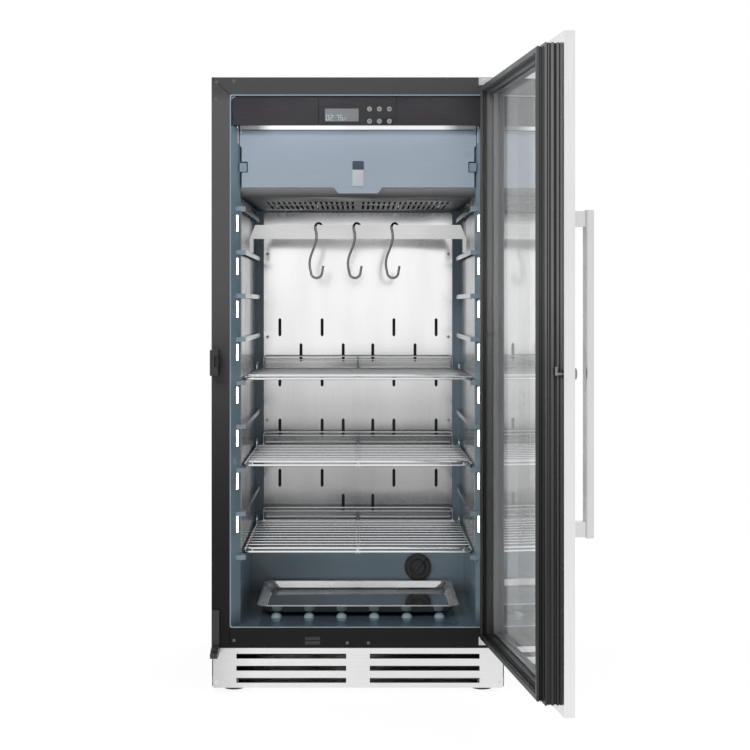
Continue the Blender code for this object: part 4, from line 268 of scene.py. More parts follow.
# Painted shade: a dark copy of the tray's steel for its floor and outside.
TRAY_STEEL = brushed("tray_steel", (0.50, 0.51, 0.53), 0.09, "x", tone=0.02, height=0.000005)
GALVANISED = brushed("galvanised", (0.62, 0.63, 0.64), 0.42, "x", fine=400.0, coarse=60.0)
CHROME = brushed("chrome_wire", (0.80, 0.81, 0.82), 0.18, "x", tone=0.02, **WIRE_GRAIN)
HOOK_STEEL = brushed("hook_steel", (0.25, 0.25, 0.26), 0.10, "x", tone=0.04, **WIRE_GRAIN)
ALUMINIUM = brushed("aluminium_fin", (0.72, 0.73, 0.74), 0.35, "z")
SPACER_GREY = brushed("spacer_grey", (0.52, 0.53, 0.54), 0.40, "z", tone=0.05)
SHELL_PAINT = moulded("shell_paint", (0.022, 0.022, 0.024), 0.40, grain=1100.0,
                      height=0.00012, tone=0.03, mottle=0.04)
BLACK_PLASTIC = moulded("black_plastic", (0.030, 0.030, 0.032), 0.36)
FRAME_PLASTIC = moulded("frame_plastic", (0.142, 0.142, 0.143), 0.50, shade=FRAME_SHADE,
                        IOR=1.25)
PROFILE_PLASTIC = moulded("profile_plastic", (0.205, 0.205, 0.208), 0.30, shade=PROFILE_SHADE)
CAP_PLASTIC = moulded("cap_plastic", (0.038, 0.038, 0.041), 0.26)
LOCK_STEEL = brushed("lock_steel", (0.26, 0.26, 0.27), 0.30, "x")
# Painted highlight: a light copy of the liner plastic for the bead round its front edge.
LINER_EDGE_LIT = moulded("liner_edge", (0.42, 0.54, 0.62), 0.25, grain=900.0, height=0.00001)
LINER = moulded("liner_plastic", (0.295, 0.400, 0.475), 0.17, grain=500.0, tone=0.04,
                height=0.000006, shade=LINER_SHADE)
# Painted light: a light copy of the liner plastic for the lit fronts of the floor's rib noses.
RIB_NOSE_LIT = moulded("rib_nose", (0.46, 0.56, 0.64), 0.25, grain=500.0, tone=0.04,
                   height=0.000006)
FLAP = brushed("flap_plastic", (0.52, 0.61, 0.725), 0.38, "x", fine=1400.0, coarse=20.0,
               tone=0.035, shade=FLAP_SHADE, metallic=0.0)
FASCIA = brushed("fascia_metal", (0.036, 0.033, 0.040), 0.50, "x", fine=1500.0, coarse=30.0,
                 tone=0.25, metallic=0.0)
DISPLAY = moulded("display_window", (0.022, 0.022, 0.024), 0.20, grain=2400.0, height=0.00001)
LCD = moulded("display_glass", (0.30, 0.31, 0.32), 0.16, grain=2400.0, height=0.000005,
              tone=0.10)
DIGITS = glowing("display_digits", (0.55, 0.78, 0.86), 0.25)
ICONS = moulded("touch_print", (0.46, 0.46, 0.47), 0.5, grain=2400.0)
LATCH_DARK = moulded("latch_window", (0.062, 0.085, 0.155), 0.22, grain=900.0)
LATCH_PALE = moulded("latch_tab", (0.74, 0.77, 0.82), 0.40, grain=900.0)
BOARD = moulded("circuit_board", (0.02, 0.13, 0.06), 0.45)
FOAM = moulded("foam", (0.75, 0.68, 0.48), 0.9, grain=600.0, tone=0.1, height=0.0002)
RUBBER = moulded("gasket_rubber", (0.088, 0.088, 0.090), 0.42, grain=1200.0,
                 shade=PROFILE_SHADE)
LENS = glowing("light_lens", (0.95, 0.98, 1.0), 9.0)
PANE = Tree("pane_glass", (0.955, 0.965, 0.965), 0.0, Transmission_Weight=1.0, IOR=1.5).material
SCREW_DARK = brushed("dark_screw", (0.16, 0.16, 0.17), 0.35, "x", **WIRE_GRAIN)
SHADOW = moulded("recess_shadow", (0.012, 0.012, 0.012), 0.6)
POLISHED = panel_steel()
BAR_LIGHT = bar_light()

CAD_MATERIALS = {
    SHELL_PAINT: ("outer_shell", "rear_cover", "compressor"),
    RUBBER: ("cord_inlet",),
    FOAM: ("insulation",),
    LINER: ("inner_liner",),
    FRAME_PLASTIC: ("frame_top", "frame_bottom", "frame_left", "frame_right"),
    GALVANISED: ("base_pan", "condenser_shroud", "hinge_top", "hinge_bottom"),
    BLACK_PLASTIC: (
        "foot_front_left", "foot_front_right", "foot_rear_left", "foot_rear_right",
        "fan_housing", "evaporator_fan", "filter_housing", "condenser_fan",
        "evaporation_pan", "drain_tube", "lock_strike", "support_ramp",
    ),
    SPACER_GREY: ("pane_spacer",),
    COVER_STEEL: ("evaporator_cover",),
    BAR_STEEL: ("hanging_bar",),
    STAINLESS_UP: ("door_frame",),
    LOCK_STEEL: ("lock_cylinder",),
    HANDLE_STEEL: ("handle",),
    RACK_STEEL: ("side_rack_left", "side_rack_right"),
    POLISHED: ("back_panel",),
    BOARD: ("control_board",),
    LENS: ("led_strip_left", "led_strip_right"),
    BAR_LIGHT: ("light_bar",),
    FLAP: ("flap", "flap_clip_left", "flap_clip_right"),
    ALUMINIUM: ("evaporator_coil", "condenser"),
    PANE: ("outer_pane", "inner_pane"),
}
for material, names in CAD_MATERIALS.items():
    for name in names:
        NODES[name].data.materials.clear()
        NODES[name].data.materials.append(material)

SOFT_ANGLE = math.radians(40)
SOFT_EDGES = {"handle": 0.0014, "door_frame": 0.0007, "lock_strike": 0.0006,
              "support_ramp": 0.0008, "hinge_top": 0.0004, "hinge_bottom": 0.0004,
              "hanging_bar": 0.0006}
for name, width in SOFT_EDGES.items():
    soft = NODES[name].modifiers.new("edges", "BEVEL")
    soft.width = width
    soft.segments = 2
    soft.limit_method = "ANGLE"
    soft.angle_limit = SOFT_ANGLE
    soft.harden_normals = True

# ------------------------ shapes
FRONT, REAR, RIGHT, UP = (0, -1, 0), (0, 1, 0), (1, 0, 0), (0, 0, 1)


def piece(name, form, material, body, replaces=(), smooth=None):
    """A mesh piece from a bmesh, riding on a body; edges over the angle smooth stay sharp."""
    bmesh.ops.recalc_face_normals(form, faces=form.faces)
    mesh = bpy.data.meshes.new(name)
    form.to_mesh(mesh)
    form.free()
    made = bpy.data.objects.new(name, mesh)
    bpy.context.scene.collection.objects.link(made)
    mesh.materials.append(material)
    if smooth:
        mesh.shade_smooth()
        mesh.set_sharp_from_angle(angle=math.radians(smooth))
    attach(made, body)
    if replaces:
        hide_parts(*replaces)
    return made


def skin(form, near, far):
    """Faces between two closed rings with as many points each."""
    faces = []
    for index in range(len(near)):
        follow = (index + 1) % len(near)
        faces.append(form.faces.new((near[index], near[follow], far[follow], far[index])))
    return faces


def loft(form, rings):
    """Faces from each ring to the next, as a list for each pair."""
    return [skin(form, near, far) for near, far in zip(rings, rings[1:])]


def cap_ends(form, first, last):
    """Flat faces on the first and last ring."""
    form.faces.new(first)
    form.faces.new(list(reversed(last)))


def circle(radius, sides):
    """Places round a circle about the origin."""
    for side in range(sides):
        angle = 2 * math.pi * side / sides
        yield radius * math.cos(angle), radius * math.sin(angle)


def arc(centre, start, end, radius, first, second, steps=6):
    """Points on an arc from one angle to another, in the plane of two directions."""
    points = []
    for step in range(steps + 1):
        angle = math.radians(start + (end - start) * step / steps)
        across = Vector(first) * radius * math.cos(angle)
        points.append(Vector(centre) + across + Vector(second) * radius * math.sin(angle))
    return points


def sweep(form, points, radius, sides=10, closed=False):
    """A round wire along points, with mitred bends and flat ends."""
    points = [Vector(point) for point in points]
    count = len(points)
    rings = []
    across = None
    for index, point in enumerate(points):
        before = points[index - 1] if closed or index else point
        after = points[(index + 1) % count] if closed or index < count - 1 else point
        arriving, leaving = point - before, after - point
        into = (arriving if arriving.length else leaving).normalized()
        out = (leaving if leaving.length else arriving).normalized()
        tangent = (into + out).normalized()
        if across is None:
            across = tangent.orthogonal().normalized()
        across = (across - tangent * across.dot(tangent)).normalized()
        other = tangent.cross(across)
        stretch = 1 / max(0.5, into.dot(tangent)) - 1
        bend = (into - out).normalized()
        ring = []
        for along_across, along_other in circle(1, sides):
            offset = (across * along_across + other * along_other) * radius
            ring.append(form.verts.new(point + offset + bend * offset.dot(bend) * stretch))
        rings.append(ring)
    loft(form, rings)
    if closed:
        last, first = rings[-1], rings[0]
        shift = min(range(sides), key=lambda step: (first[step].co - last[0].co).length)
        skin(form, last, first[shift:] + first[:shift])
    else:
        cap_ends(form, rings[-1], rings[0])


def slab(form, low, high, edge=0.0, segments=2, matrix=None):
    """A block between two corners, its edges rounded."""
    size = [b - a for a, b in zip(low, high)]
    middle = [(a + b) / 2 for a, b in zip(low, high)]
    place = Matrix.Translation(middle) @ Matrix.Diagonal((*size, 1))
    made = bmesh.ops.create_cube(form, size=1, matrix=place)["verts"]
    if edge:
        edges = {link for vert in made for link in vert.link_edges}
        bevelled = bmesh.ops.bevel(form, geom=list(edges), offset=edge, segments=segments,
                                   profile=0.5, affect="EDGES", clamp_overlap=True)
        made = bevelled["verts"]
    if matrix is not None:
        bmesh.ops.transform(form, matrix=matrix, verts=made)


def upright(form, left, low, right, high, depths, edge=0.0, segments=2):
    """A block from its limits as seen from the front and its two depths."""
    slab(form, (left, depths[0], low), (right, depths[1], high), edge, segments)


def lathe(form, profile, matrix, sides=40):
    """A turned form: profile is radius and height along the matrix's Z."""
    rings = []
    for radius, height in profile:
        places = circle(radius, sides) if radius else [(0.0, 0.0)]
        rings.append([form.verts.new(matrix @ Vector((x, y, height))) for x, y in places])
    for low, high in zip(rings, rings[1:]):
        for side in range(sides):
            follow = (side + 1) % sides
            quad = [low[side % len(low)], low[follow % len(low)],
                    high[follow % len(high)], high[side % len(high)]]
            unique = list(dict.fromkeys(quad))
            if len(unique) > 2:
                form.faces.new(unique)


def prism(form, outline, front, rear, edge=0.0):
    """An outline of (x, z) between two depths, its front edge rounded."""
    near = [form.verts.new((x, front, z)) for x, z in outline]
    far = [form.verts.new((x, rear, z)) for x, z in outline]
    face = form.faces.new(near)
    form.faces.new(list(reversed(far)))
    skin(form, far, near)
    if edge:
        bmesh.ops.bevel(form, geom=list(face.edges), offset=edge, segments=2, profile=0.5,
                        affect="EDGES", clamp_overlap=True)


def corners(left, right, low, high, radius, steps=5):
    """A rectangle with rounded corners, as points of two measures."""
    points = []
    for x, z, start in ((right, high, 0), (left, high, 90), (left, low, 180), (right, low, 270)):
        centre_x = x - radius if x == right else x + radius
        centre_z = z - radius if z == high else z + radius
        for step in range(steps + 1):
            angle = math.radians(start + 90 * step / steps)
            points.append((centre_x + radius * math.cos(angle),
                           centre_z + radius * math.sin(angle)))
    return points


def drawn(shape, *values):
    """A new form with one shape in it."""
    form = bmesh.new()
    shape(form, *values)
    return form


def facing(place, towards):
    """A matrix whose Z runs from a place along a direction."""
    turn = Vector(towards).to_track_quat("Z", "Y").to_matrix().to_4x4()
    return Matrix.Translation(place) @ turn


SCREW_SIDES, DOME_STEPS, DOME_TURN, DOME_SPREAD = 20, 5, 20, 0.9
SCREW_EDGE, TOP_RISE, TOP_SHARE, TOP_DISH = 0.0002, 0.0001, 0.25, 0.75
CROSS_THIN, CROSS_ARM, CROSS_SINK, CROSS_RISE, CROSS_STEP = 0.16, 0.58, 0.0003, 0.00012, 0.00001


def screw(name, place, towards, radius, rise, material):
    """A domed screw head on a face of the cabinet, with a dark cross of painted shadow where its
    recess would be.
    """
    form = bmesh.new()
    matrix = facing(place, towards)
    profile = [(0.0, 0.0), (radius, 0.0)]
    for step in range(DOME_STEPS):
        angle = math.radians(step * DOME_TURN)
        profile.append((radius * math.cos(angle * DOME_SPREAD),
                        rise * math.sin(angle) + SCREW_EDGE))
    profile += [(radius * TOP_SHARE, rise + TOP_RISE), (0.0, rise * TOP_DISH)]
    lathe(form, profile, matrix, SCREW_SIDES)
    piece(name, form, material, "cabinet", smooth=35)
    # The cross is painted shadow, standing in for the screw's recess.
    cross = bmesh.new()
    thin, arm = radius * CROSS_THIN, radius * CROSS_ARM
    high = rise + CROSS_RISE
    low = high - CROSS_SINK
    slab(cross, (-arm, -thin, low), (arm, thin, high), matrix=matrix)
    slab(cross, (-thin, -arm, low), (thin, arm, high + CROSS_STEP), matrix=matrix)
    piece(name + "_cross", cross, SHADOW, "cabinet")


def screw_row(name, endings, places, y, towards, radius, rise, material):
    """Screws of one kind on one upright face, from their (x, z) places."""
    for ending, (x, z) in zip(endings, places):
        screw(f"{name}_screw_{ending}", (x, y, z), towards, radius, rise, material)


# ------------------------ stage
FLOOR_HALF, FLOOR_AT, FLOOR_GREY, FLOOR_ROUGHNESS = 6.0, -0.0101, 0.8, 0.9
FADE_START, FADE_END = 1.0, 2.4
WORLD_STRENGTH = 0.30


def seen_white(tree, kind):
    """A white shader, and the factor of the camera, mirror and glass rays that see it."""
    path = tree.nodes.new("ShaderNodeLightPath")
    seen = path.outputs["Is Camera Ray"]
    for name in ("Is Glossy Ray", "Is Transmission Ray"):
        add = tree.nodes.new("ShaderNodeMath")
        add.operation = "MAXIMUM"
        tree.links.new(seen, add.inputs[0])
        tree.links.new(path.outputs[name], add.inputs[1])
        seen = add.outputs["Value"]
    white = tree.nodes.new(kind)
    put(white, Color=WHITE, Strength=1.0)
    return seen, white


def blend(tree, factor, plain, white, target):
    """Mixes a plain shader and a white one by a factor, into an output."""
    mix = tree.nodes.new("ShaderNodeMixShader")
    for source, socket in ((factor, 0), (plain.outputs[0], 1), (white.outputs[0], 2)):
        tree.links.new(source, mix.inputs[socket])
    tree.links.new(mix.outputs["Shader"], tree.nodes[target].inputs["Surface"])


def make_world():
    """Dim white light all round, seen as full white."""
    world = bpy.data.worlds.new("world")
    world.use_nodes = True
    bpy.context.scene.world = world
    plain = world.node_tree.nodes["Background"]
    put(plain, Color=WHITE, Strength=WORLD_STRENGTH)
    seen, white = seen_white(world.node_tree, "ShaderNodeBackground")
    blend(world.node_tree, seen, plain, white, "World Output")


def lamp(name, place, target, size, power):
    """A rectangular light that aims at a target and doesn't show in mirrors."""
    data = bpy.data.lights.new(name, "AREA")
    data.shape = "RECTANGLE"
    data.size, data.size_y = size
    data.energy = power
    aim = Vector(target) - Vector(place)
    lamp_object = bpy.data.objects.new(name, data)
    lamp_object.location = place
    lamp_object.rotation_euler = aim.to_track_quat("-Z", "Y").to_euler()
    lamp_object.visible_glossy = False
    bpy.context.scene.collection.objects.link(lamp_object)


def fade(tree, distance, near, far):
    """A value near the object that becomes another further out on the floor."""
    span = tree.nodes.new("ShaderNodeMapRange")
    put(span, From_Min=FADE_START, From_Max=FADE_END, To_Min=near, To_Max=far)
    tree.links.new(distance.outputs["Value"], span.inputs["Value"])
    return span.outputs["Result"]


def paint_floor():
    """Paper that keeps a faint shadow under the object and turns plain white further out."""
    material = bpy.data.materials.new("floor_paper")
    material.use_nodes = True
    tree = material.node_tree
    paper = tree.nodes["Principled BSDF"]
    put(paper, Base_Color=(FLOOR_GREY, FLOOR_GREY, FLOOR_GREY, 1.0),
        Roughness=FLOOR_ROUGHNESS)
    seen, white = seen_white(tree, "ShaderNodeEmission")
    spot = tree.nodes.new("ShaderNodeTexCoord")
    distance = tree.nodes.new("ShaderNodeVectorMath")
    distance.operation = "LENGTH"
    tree.links.new(spot.outputs["Object"], distance.inputs[0])
    share = tree.nodes.new("ShaderNodeMath")
    share.operation = "MULTIPLY"
    tree.links.new(seen, share.inputs[0])
    tree.links.new(fade(tree, distance, 0.60, 1.0), share.inputs[1])
    tree.links.new(fade(tree, distance, 1.43, 1.0), white.inputs["Strength"])
    blend(tree, share.outputs["Value"], paper, white, "Material Output")
    return material


make_world()
lamp("key", (-1.2, -3.2, 2.4), (0, -0.2, 0.9), (1.6, 1.2), 38)
lamp("fill", (2.4, -2.4, 1.8), (0, -0.2, 0.8), (1.6, 1.6), 14)
lamp("back", (0.6, 3.2, 2.6), (0, 0.2, 0.7), (2.4, 1.6), 30)

floor_form = bmesh.new()
bmesh.ops.create_grid(floor_form, x_segments=1, y_segments=1, size=FLOOR_HALF)
floor_mesh = bpy.data.meshes.new("floor")
floor_form.to_mesh(floor_mesh)
floor_form.free()
floor_mesh.materials.append(paint_floor())
floor = bpy.data.objects.new("floor", floor_mesh)
floor.location = (0, 0, FLOOR_AT)
bpy.context.scene.collection.objects.link(floor)

# ------------------------ wire shelves and hooks
FRONT_Y = -0.320
SHELF_HALF, SHELF_FRONT, SHELF_REAR = 0.235, FRONT_Y + 0.0525, FRONT_Y + 0.5555
SHELF_CORNER, SHELF_ROD, SHELF_SPACES = 0.012, 0.0025, 12
CROSS_WIRE, CENTRE_WIRE, GUARD_WIRE, GUARD_RAIL, POST_WIRE, STOP_WIRE = (
    0.00184, 0.0021, 0.0019, 0.0017, 0.0018, 0.002)
CROSS_LIFT, CENTRE_DROP, CENTRE_HALF = 0.0032, 0.0014, 0.0035
GUARD_INSET, GUARD_HIGH, GUARD_RAIL_HIGH, HOOP_BEND = 0.013, 0.0315, 0.0235, 0.006
RAIL_HIGH, RAIL_END, RAIL_SETBACK, RAIL_POST = 0.0075, 0.004, 0.0015, 0.005
STOP_START, STOP_END, STOP_HIGH = SHELF_REAR - 0.0655, SHELF_REAR - 0.0295, 0.018
WIRE_SMOOTH = 50


def hoop(form, start, end, high, radius):
    """A wire that rises from a start, bends over at a height and falls to an end."""
    start, end = Vector(start), Vector(end)
    along = (end - start).normalized()
    rise = Vector((0, 0, high - HOOP_BEND))
    points = [start]
    points += arc(start + along * HOOP_BEND + rise, 180, 90, HOOP_BEND, along, UP)
    points += arc(end - along * HOOP_BEND + rise, 90, 0, HOOP_BEND, along, UP)
    sweep(form, [*points, end], radius)


def make_shelf(name, body, z):
    """A rod loop with cross wires, a centre pair, a front rail, a rear guard and two stops."""
    form = bmesh.new()
    half, inner = SHELF_HALF, SHELF_HALF - SHELF_CORNER
    loop = []
    for x, y, start in ((1, 1, 0), (-1, 1, 90), (-1, -1, 180), (1, -1, 270)):
        centre_y = SHELF_REAR - SHELF_CORNER if y > 0 else SHELF_FRONT + SHELF_CORNER
        loop += arc((x * inner, centre_y, z), start, start + 90, SHELF_CORNER, RIGHT, REAR)
    sweep(form, loop, SHELF_ROD, 12, True)
    for step in range(1, SHELF_SPACES):
        y = SHELF_FRONT + (SHELF_REAR - SHELF_FRONT) * step / SHELF_SPACES
        sweep(form, [(-half, y, z + CROSS_LIFT), (half, y, z + CROSS_LIFT)], CROSS_WIRE, 8)
    low = z - CENTRE_DROP
    for x in (-CENTRE_HALF, CENTRE_HALF):
        sweep(form, [(x, SHELF_FRONT, low), (x, SHELF_REAR, low)], CENTRE_WIRE, 8)
    guard, rail = half - GUARD_INSET, z + GUARD_RAIL_HIGH
    hoop(form, (-guard, SHELF_REAR, z), (guard, SHELF_REAR, z), GUARD_HIGH, GUARD_WIRE)
    sweep(form, [(-guard, SHELF_REAR, rail), (guard, SHELF_REAR, rail)], GUARD_RAIL, 8)
    sweep(form, [(0, SHELF_REAR, z), (0, SHELF_REAR, z + GUARD_HIGH)], POST_WIRE, 8)
    rail = z + RAIL_HIGH
    end = inner + RAIL_END
    sweep(form, [(-end, SHELF_FRONT + RAIL_SETBACK, rail), (-inner, SHELF_FRONT, rail),
                 (inner, SHELF_FRONT, rail), (end, SHELF_FRONT + RAIL_SETBACK, rail)],
          SHELF_ROD, 12)
    for x in (RAIL_POST - inner, 0.0, inner - RAIL_POST):
        sweep(form, [(x, SHELF_FRONT, z), (x, SHELF_FRONT, rail)], POST_WIRE, 8)
    for x in (-half, half):
        hoop(form, (x, STOP_START, z), (x, STOP_END, z), STOP_HIGH, STOP_WIRE)
    piece(name + "_wires", form, CHROME, body, (name,), WIRE_SMOOTH)


for name, body, z in (("shelf_lower", "lower_shelf", 0.26915),
                      ("shelf_middle", "middle_shelf", 0.44735),
                      ("shelf_upper", "upper_shelf", 0.62555)):
    make_shelf(name, body, z)

BAR_Y, LOOP_Z = FRONT_Y + 0.224, 0.94375
HOOK_TURN = math.radians(45)
HOOK_AHEAD = Vector((-math.sin(HOOK_TURN), -math.cos(HOOK_TURN), 0))
HOOK_LOOP, HOOK_TAIL, HOOK_WIRE, HOOK_BOWL = 0.0105, 0.0045, 0.0025, 0.012
SHANK_DROP, SHANK_SHIFT, SHANK_SWAY, SHANK_STEPS, TIP_RISE = 0.096, 0.009, 0.0042, 10, 0.014


def make_hook(name, body, x):
    """A loop over the bar, an S-shaped shank and a bowl that opens to the front."""
    form = bmesh.new()
    middle = Vector((x, BAR_Y, LOOP_Z))
    points = [middle - HOOK_AHEAD * HOOK_LOOP - Vector(UP) * HOOK_TAIL]
    points += arc(middle, 180, 0, HOOK_LOOP, HOOK_AHEAD, UP, 16)
    start = points[-1].copy()
    left, low = start.x - SHANK_SHIFT, LOOP_Z - SHANK_DROP
    for step in range(1, SHANK_STEPS):
        share = step / SHANK_STEPS
        ease = share * share * (3 - 2 * share)
        sway = SHANK_SWAY * math.sin(2 * math.pi * share)
        points.append(Vector((start.x + (left - start.x) * ease + sway, start.y,
                              start.z + (low - start.z) * share)))
    points += arc((left + HOOK_BOWL, start.y, low), 180, 360, HOOK_BOWL, RIGHT, UP, 16)
    tip = Vector((left + 2 * HOOK_BOWL + HOOK_WIRE, start.y, low + TIP_RISE))
    points += [points[-1].lerp(tip, 0.5), tip]
    sweep(form, points, HOOK_WIRE, 14)
    piece(name + "_wire", form, HOOK_STEEL, body, (name,), WIRE_SMOOTH)


for name, body, x in (("hook_left", "left_hook", -0.085), ("hook_middle", "middle_hook", -0.0023),
                      ("hook_right", "right_hook", 0.0794)):
    make_hook(name, body, x)

# ------------------------ control fascia and display
FASCIA_FRONT, FASCIA_REAR, FASCIA_EDGE = -0.315, -0.3005, 0.0009
CORNER_X, CORNER_Z, CORNER_RADIUS, CORNER_STEPS = 0.2489, 1.191, 0.009, 6
CORNER_TOP, CORNER_SIDE = 1.2018, 0.2600
FASCIA_LOWER = [(0.2530, 1.143), (0.2530, 1.1625), (0.2548, 1.1660), (0.2579, 1.1685)]
QUARTER = [math.radians(90 * step / CORNER_STEPS) for step in range(CORNER_STEPS + 1)]
FASCIA_CORNER = [(CORNER_X + CORNER_RADIUS * math.cos(angle),
                  CORNER_Z + CORNER_RADIUS * math.sin(angle)) for angle in QUARTER]

outline = FASCIA_LOWER + FASCIA_CORNER
outline += [(-x, z) for x, z in reversed(outline)]
form = drawn(prism, outline, FASCIA_FRONT, FASCIA_REAR, FASCIA_EDGE)
piece("fascia_panel", form, FASCIA, "cabinet", ("control_fascia",), 40)

# Dark strips of painted shadow in the fascia's two folds.
FOLD_HALF, FOLD_LOW, FOLD_HIGH = 0.0011, 1.1436, 1.1992
FOLD_DEPTHS = (FASCIA_FRONT - 0.00005, FASCIA_FRONT + 0.0004)
for name, x in (("fascia_fold_left", -0.0800), ("fascia_fold_right", 0.0783)):
    form = drawn(upright, x - FOLD_HALF, FOLD_LOW, x + FOLD_HALF, FOLD_HIGH, FOLD_DEPTHS)
    piece(name, form, SHADOW, "cabinet")

OVERLAY_FRONT, OVERLAY_REAR = FASCIA_FRONT - 0.0004, FASCIA_FRONT + 0.0007
SCREEN_FRONT = FASCIA_FRONT - 0.0006
outline = corners(-0.0761, 0.0745, 1.1445, 1.1840, 0.0012)
form = drawn(prism, outline, OVERLAY_FRONT, OVERLAY_REAR, 0.0002)
piece("display_overlay", form, DISPLAY, "cabinet", ("display_panel",), 40)
outline = corners(-0.0671, 0.0012, 1.1508, 1.1769, 0.0008)
form = drawn(prism, outline, SCREEN_FRONT, FASCIA_FRONT, 0.0001)
piece("display_screen", form, LCD, "cabinet", smooth=40)

SEGMENTS = {"0": "abcdef", "2": "abged", "5": "afgcd", "7": "abc"}
DIGIT_DEPTHS = (FASCIA_FRONT - 0.00075, FASCIA_FRONT - 0.0005)
DIGIT_LOW, DIGIT_HIGH, DIGIT_WIDE, DIGIT_THICK, DIGIT_GAP = 1.1530, 0.0112, 0.52, 0.10, 0.12
POINT = (-0.0496, 1.1618, -0.0482, 1.1632)
UNIT_X, UNIT_WIDE, UNIT_HIGH, UNIT_STEP, UNIT_RISE = -0.0296, 0.0014, 0.0015, 0.0021, 0.0018


def digit(form, sign, x, z, high):
    """A seven-segment sign with its lower left corner at x, z."""
    wide, thick = high * DIGIT_WIDE, high * DIGIT_THICK
    middle = z + high / 2
    places = {
        "a": (x, z + high - thick, x + wide, z + high),
        "b": (x + wide - thick, middle, x + wide, z + high),
        "c": (x + wide - thick, z, x + wide, middle),
        "d": (x, z, x + wide, z + thick),
        "e": (x, z, x + thick, middle),
        "f": (x, middle, x + thick, z + high),
        "g": (x, middle - thick / 2, x + wide, middle + thick / 2),
    }
    gap = thick * DIGIT_GAP
    for name in SEGMENTS[sign]:
        left, low, right, top = places[name]
        upright(form, left + gap, low + gap, right - gap, top - gap, DIGIT_DEPTHS)


form = bmesh.new()
for sign, x in (("0", -0.0650), ("2", -0.0575), ("7", -0.0445), ("5", -0.0370)):
    digit(form, sign, x, DIGIT_LOW, DIGIT_HIGH)
upright(form, *POINT, DIGIT_DEPTHS)
for step in range(3):
    x, z = UNIT_X + UNIT_STEP * step, DIGIT_LOW + UNIT_RISE * step
    upright(form, x, z, x + UNIT_WIDE, z + UNIT_HIGH, DIGIT_DEPTHS)
piece("display_digits", form, DIGITS, "cabinet")

KEY_PLACES = [(x, z) for z in (1.1760, 1.1512) for x in (0.0234, 0.0436, 0.0638)]
KEY_PROFILE = [(0.0, 0.0), (0.0050, 0.0), (0.0050, 0.0002), (0.0048, 0.0003), (0.0, 0.0003)]
MARK_DEPTHS = (FASCIA_FRONT - 0.00080, FASCIA_FRONT - 0.00068)
# The bars of each key's mark, from the lower left to the upper right about the key's middle
KEY_MARKS = (
    ((-0.0005, -0.0026, 0.0005, 0.0026),),
    ((-0.0004, -0.0024, 0.0004, 0.0024), (-0.0024, -0.0004, 0.0024, 0.0004)),
    ((-0.0026, -0.0016, 0.0026, -0.0009), (-0.0026, -0.0003, 0.0026, 0.0004),
     (-0.0026, 0.0010, 0.0026, 0.0017)),
    ((-0.0022, -0.0022, 0.0022, -0.0014), (-0.0022, 0.0014, 0.0022, 0.0022),
     (-0.0022, -0.0014, -0.0014, 0.0014), (0.0014, -0.0014, 0.0022, 0.0014)),
    ((-0.0026, -0.0008, -0.0010, 0.0), (-0.0012, 0.0002, 0.0012, 0.0014),
     (0.0010, -0.0008, 0.0026, 0.0)),
    ((-0.0026, 0.0008, -0.0010, 0.0016), (-0.0012, -0.0012, 0.0012, 0.0002),
     (0.0010, 0.0008, 0.0026, 0.0016)),
)
icons, marks = bmesh.new(), bmesh.new()
for (x, z), bars in zip(KEY_PLACES, KEY_MARKS):
    lathe(icons, KEY_PROFILE, facing((x, OVERLAY_FRONT, z), FRONT), 28)
    for left, low, right, high in bars:
        upright(marks, x + left, z + low, x + right, z + high, MARK_DEPTHS)
piece("touch_icons", icons, ICONS, "cabinet", smooth=40)
piece("touch_marks", marks, DISPLAY, "cabinet")

# ------------------------ liner's edge and corners
BEAD_HALF, BEAD_LOW, BEAD_HIGH, BEAD_CORNER = 0.2604, 0.1221, 1.2049, 0.0045
BEAD_SECTION = ((0.0, -0.3192), (0.0, -0.3196), (0.0005, -0.3198), (0.0013, -0.3198),
                (0.0018, -0.3194), (0.0018, -0.3185))
form = bmesh.new()
rings = []
for inset, y in BEAD_SECTION:
    half = BEAD_HALF - inset
    outline = corners(-half, half, BEAD_LOW + inset, BEAD_HIGH - inset, BEAD_CORNER, 6)
    rings.append([form.verts.new((x, y, z)) for x, z in outline])
loft(form, rings)
# The bead takes the light copy of the liner plastic, a painted highlight.
piece("liner_edge_bead", form, LINER_EDGE_LIT, "cabinet", smooth=50)

for name, side in (("fascia_corner_left", -1), ("fascia_corner_right", 1)):
    outline = [*FASCIA_CORNER, (CORNER_X, CORNER_TOP), (CORNER_SIDE, CORNER_TOP),
               (CORNER_SIDE, CORNER_Z)]
    outline = [(side * x, z) for x, z in outline]
    form = drawn(prism, outline, FASCIA_FRONT - 0.0002, FASCIA_REAR, 0.0003)
    piece(name, form, LINER, "cabinet", smooth=40)

# ------------------------ flap
POST_INNER, POST_OUTER, POST_LOW, POST_KNEE, POST_HIGH = 0.2441, 0.2473, 1.1080, 1.1380, 1.1432
POST_DEPTHS, ARM_DEPTHS, POST_EDGE = (-0.2950, -0.2905), (-0.3060, -0.2945), 0.0006
for name, side in (("flap_post_left", -1), ("flap_post_right", 1)):
    form = bmesh.new()
    left, right = sorted((side * POST_INNER, side * POST_OUTER))
    upright(form, left, POST_LOW, right, POST_HIGH, POST_DEPTHS, POST_EDGE)
    upright(form, left, POST_KNEE, right, POST_HIGH, ARM_DEPTHS, POST_EDGE)
    piece(name, form, GALVANISED, "cabinet", smooth=40)

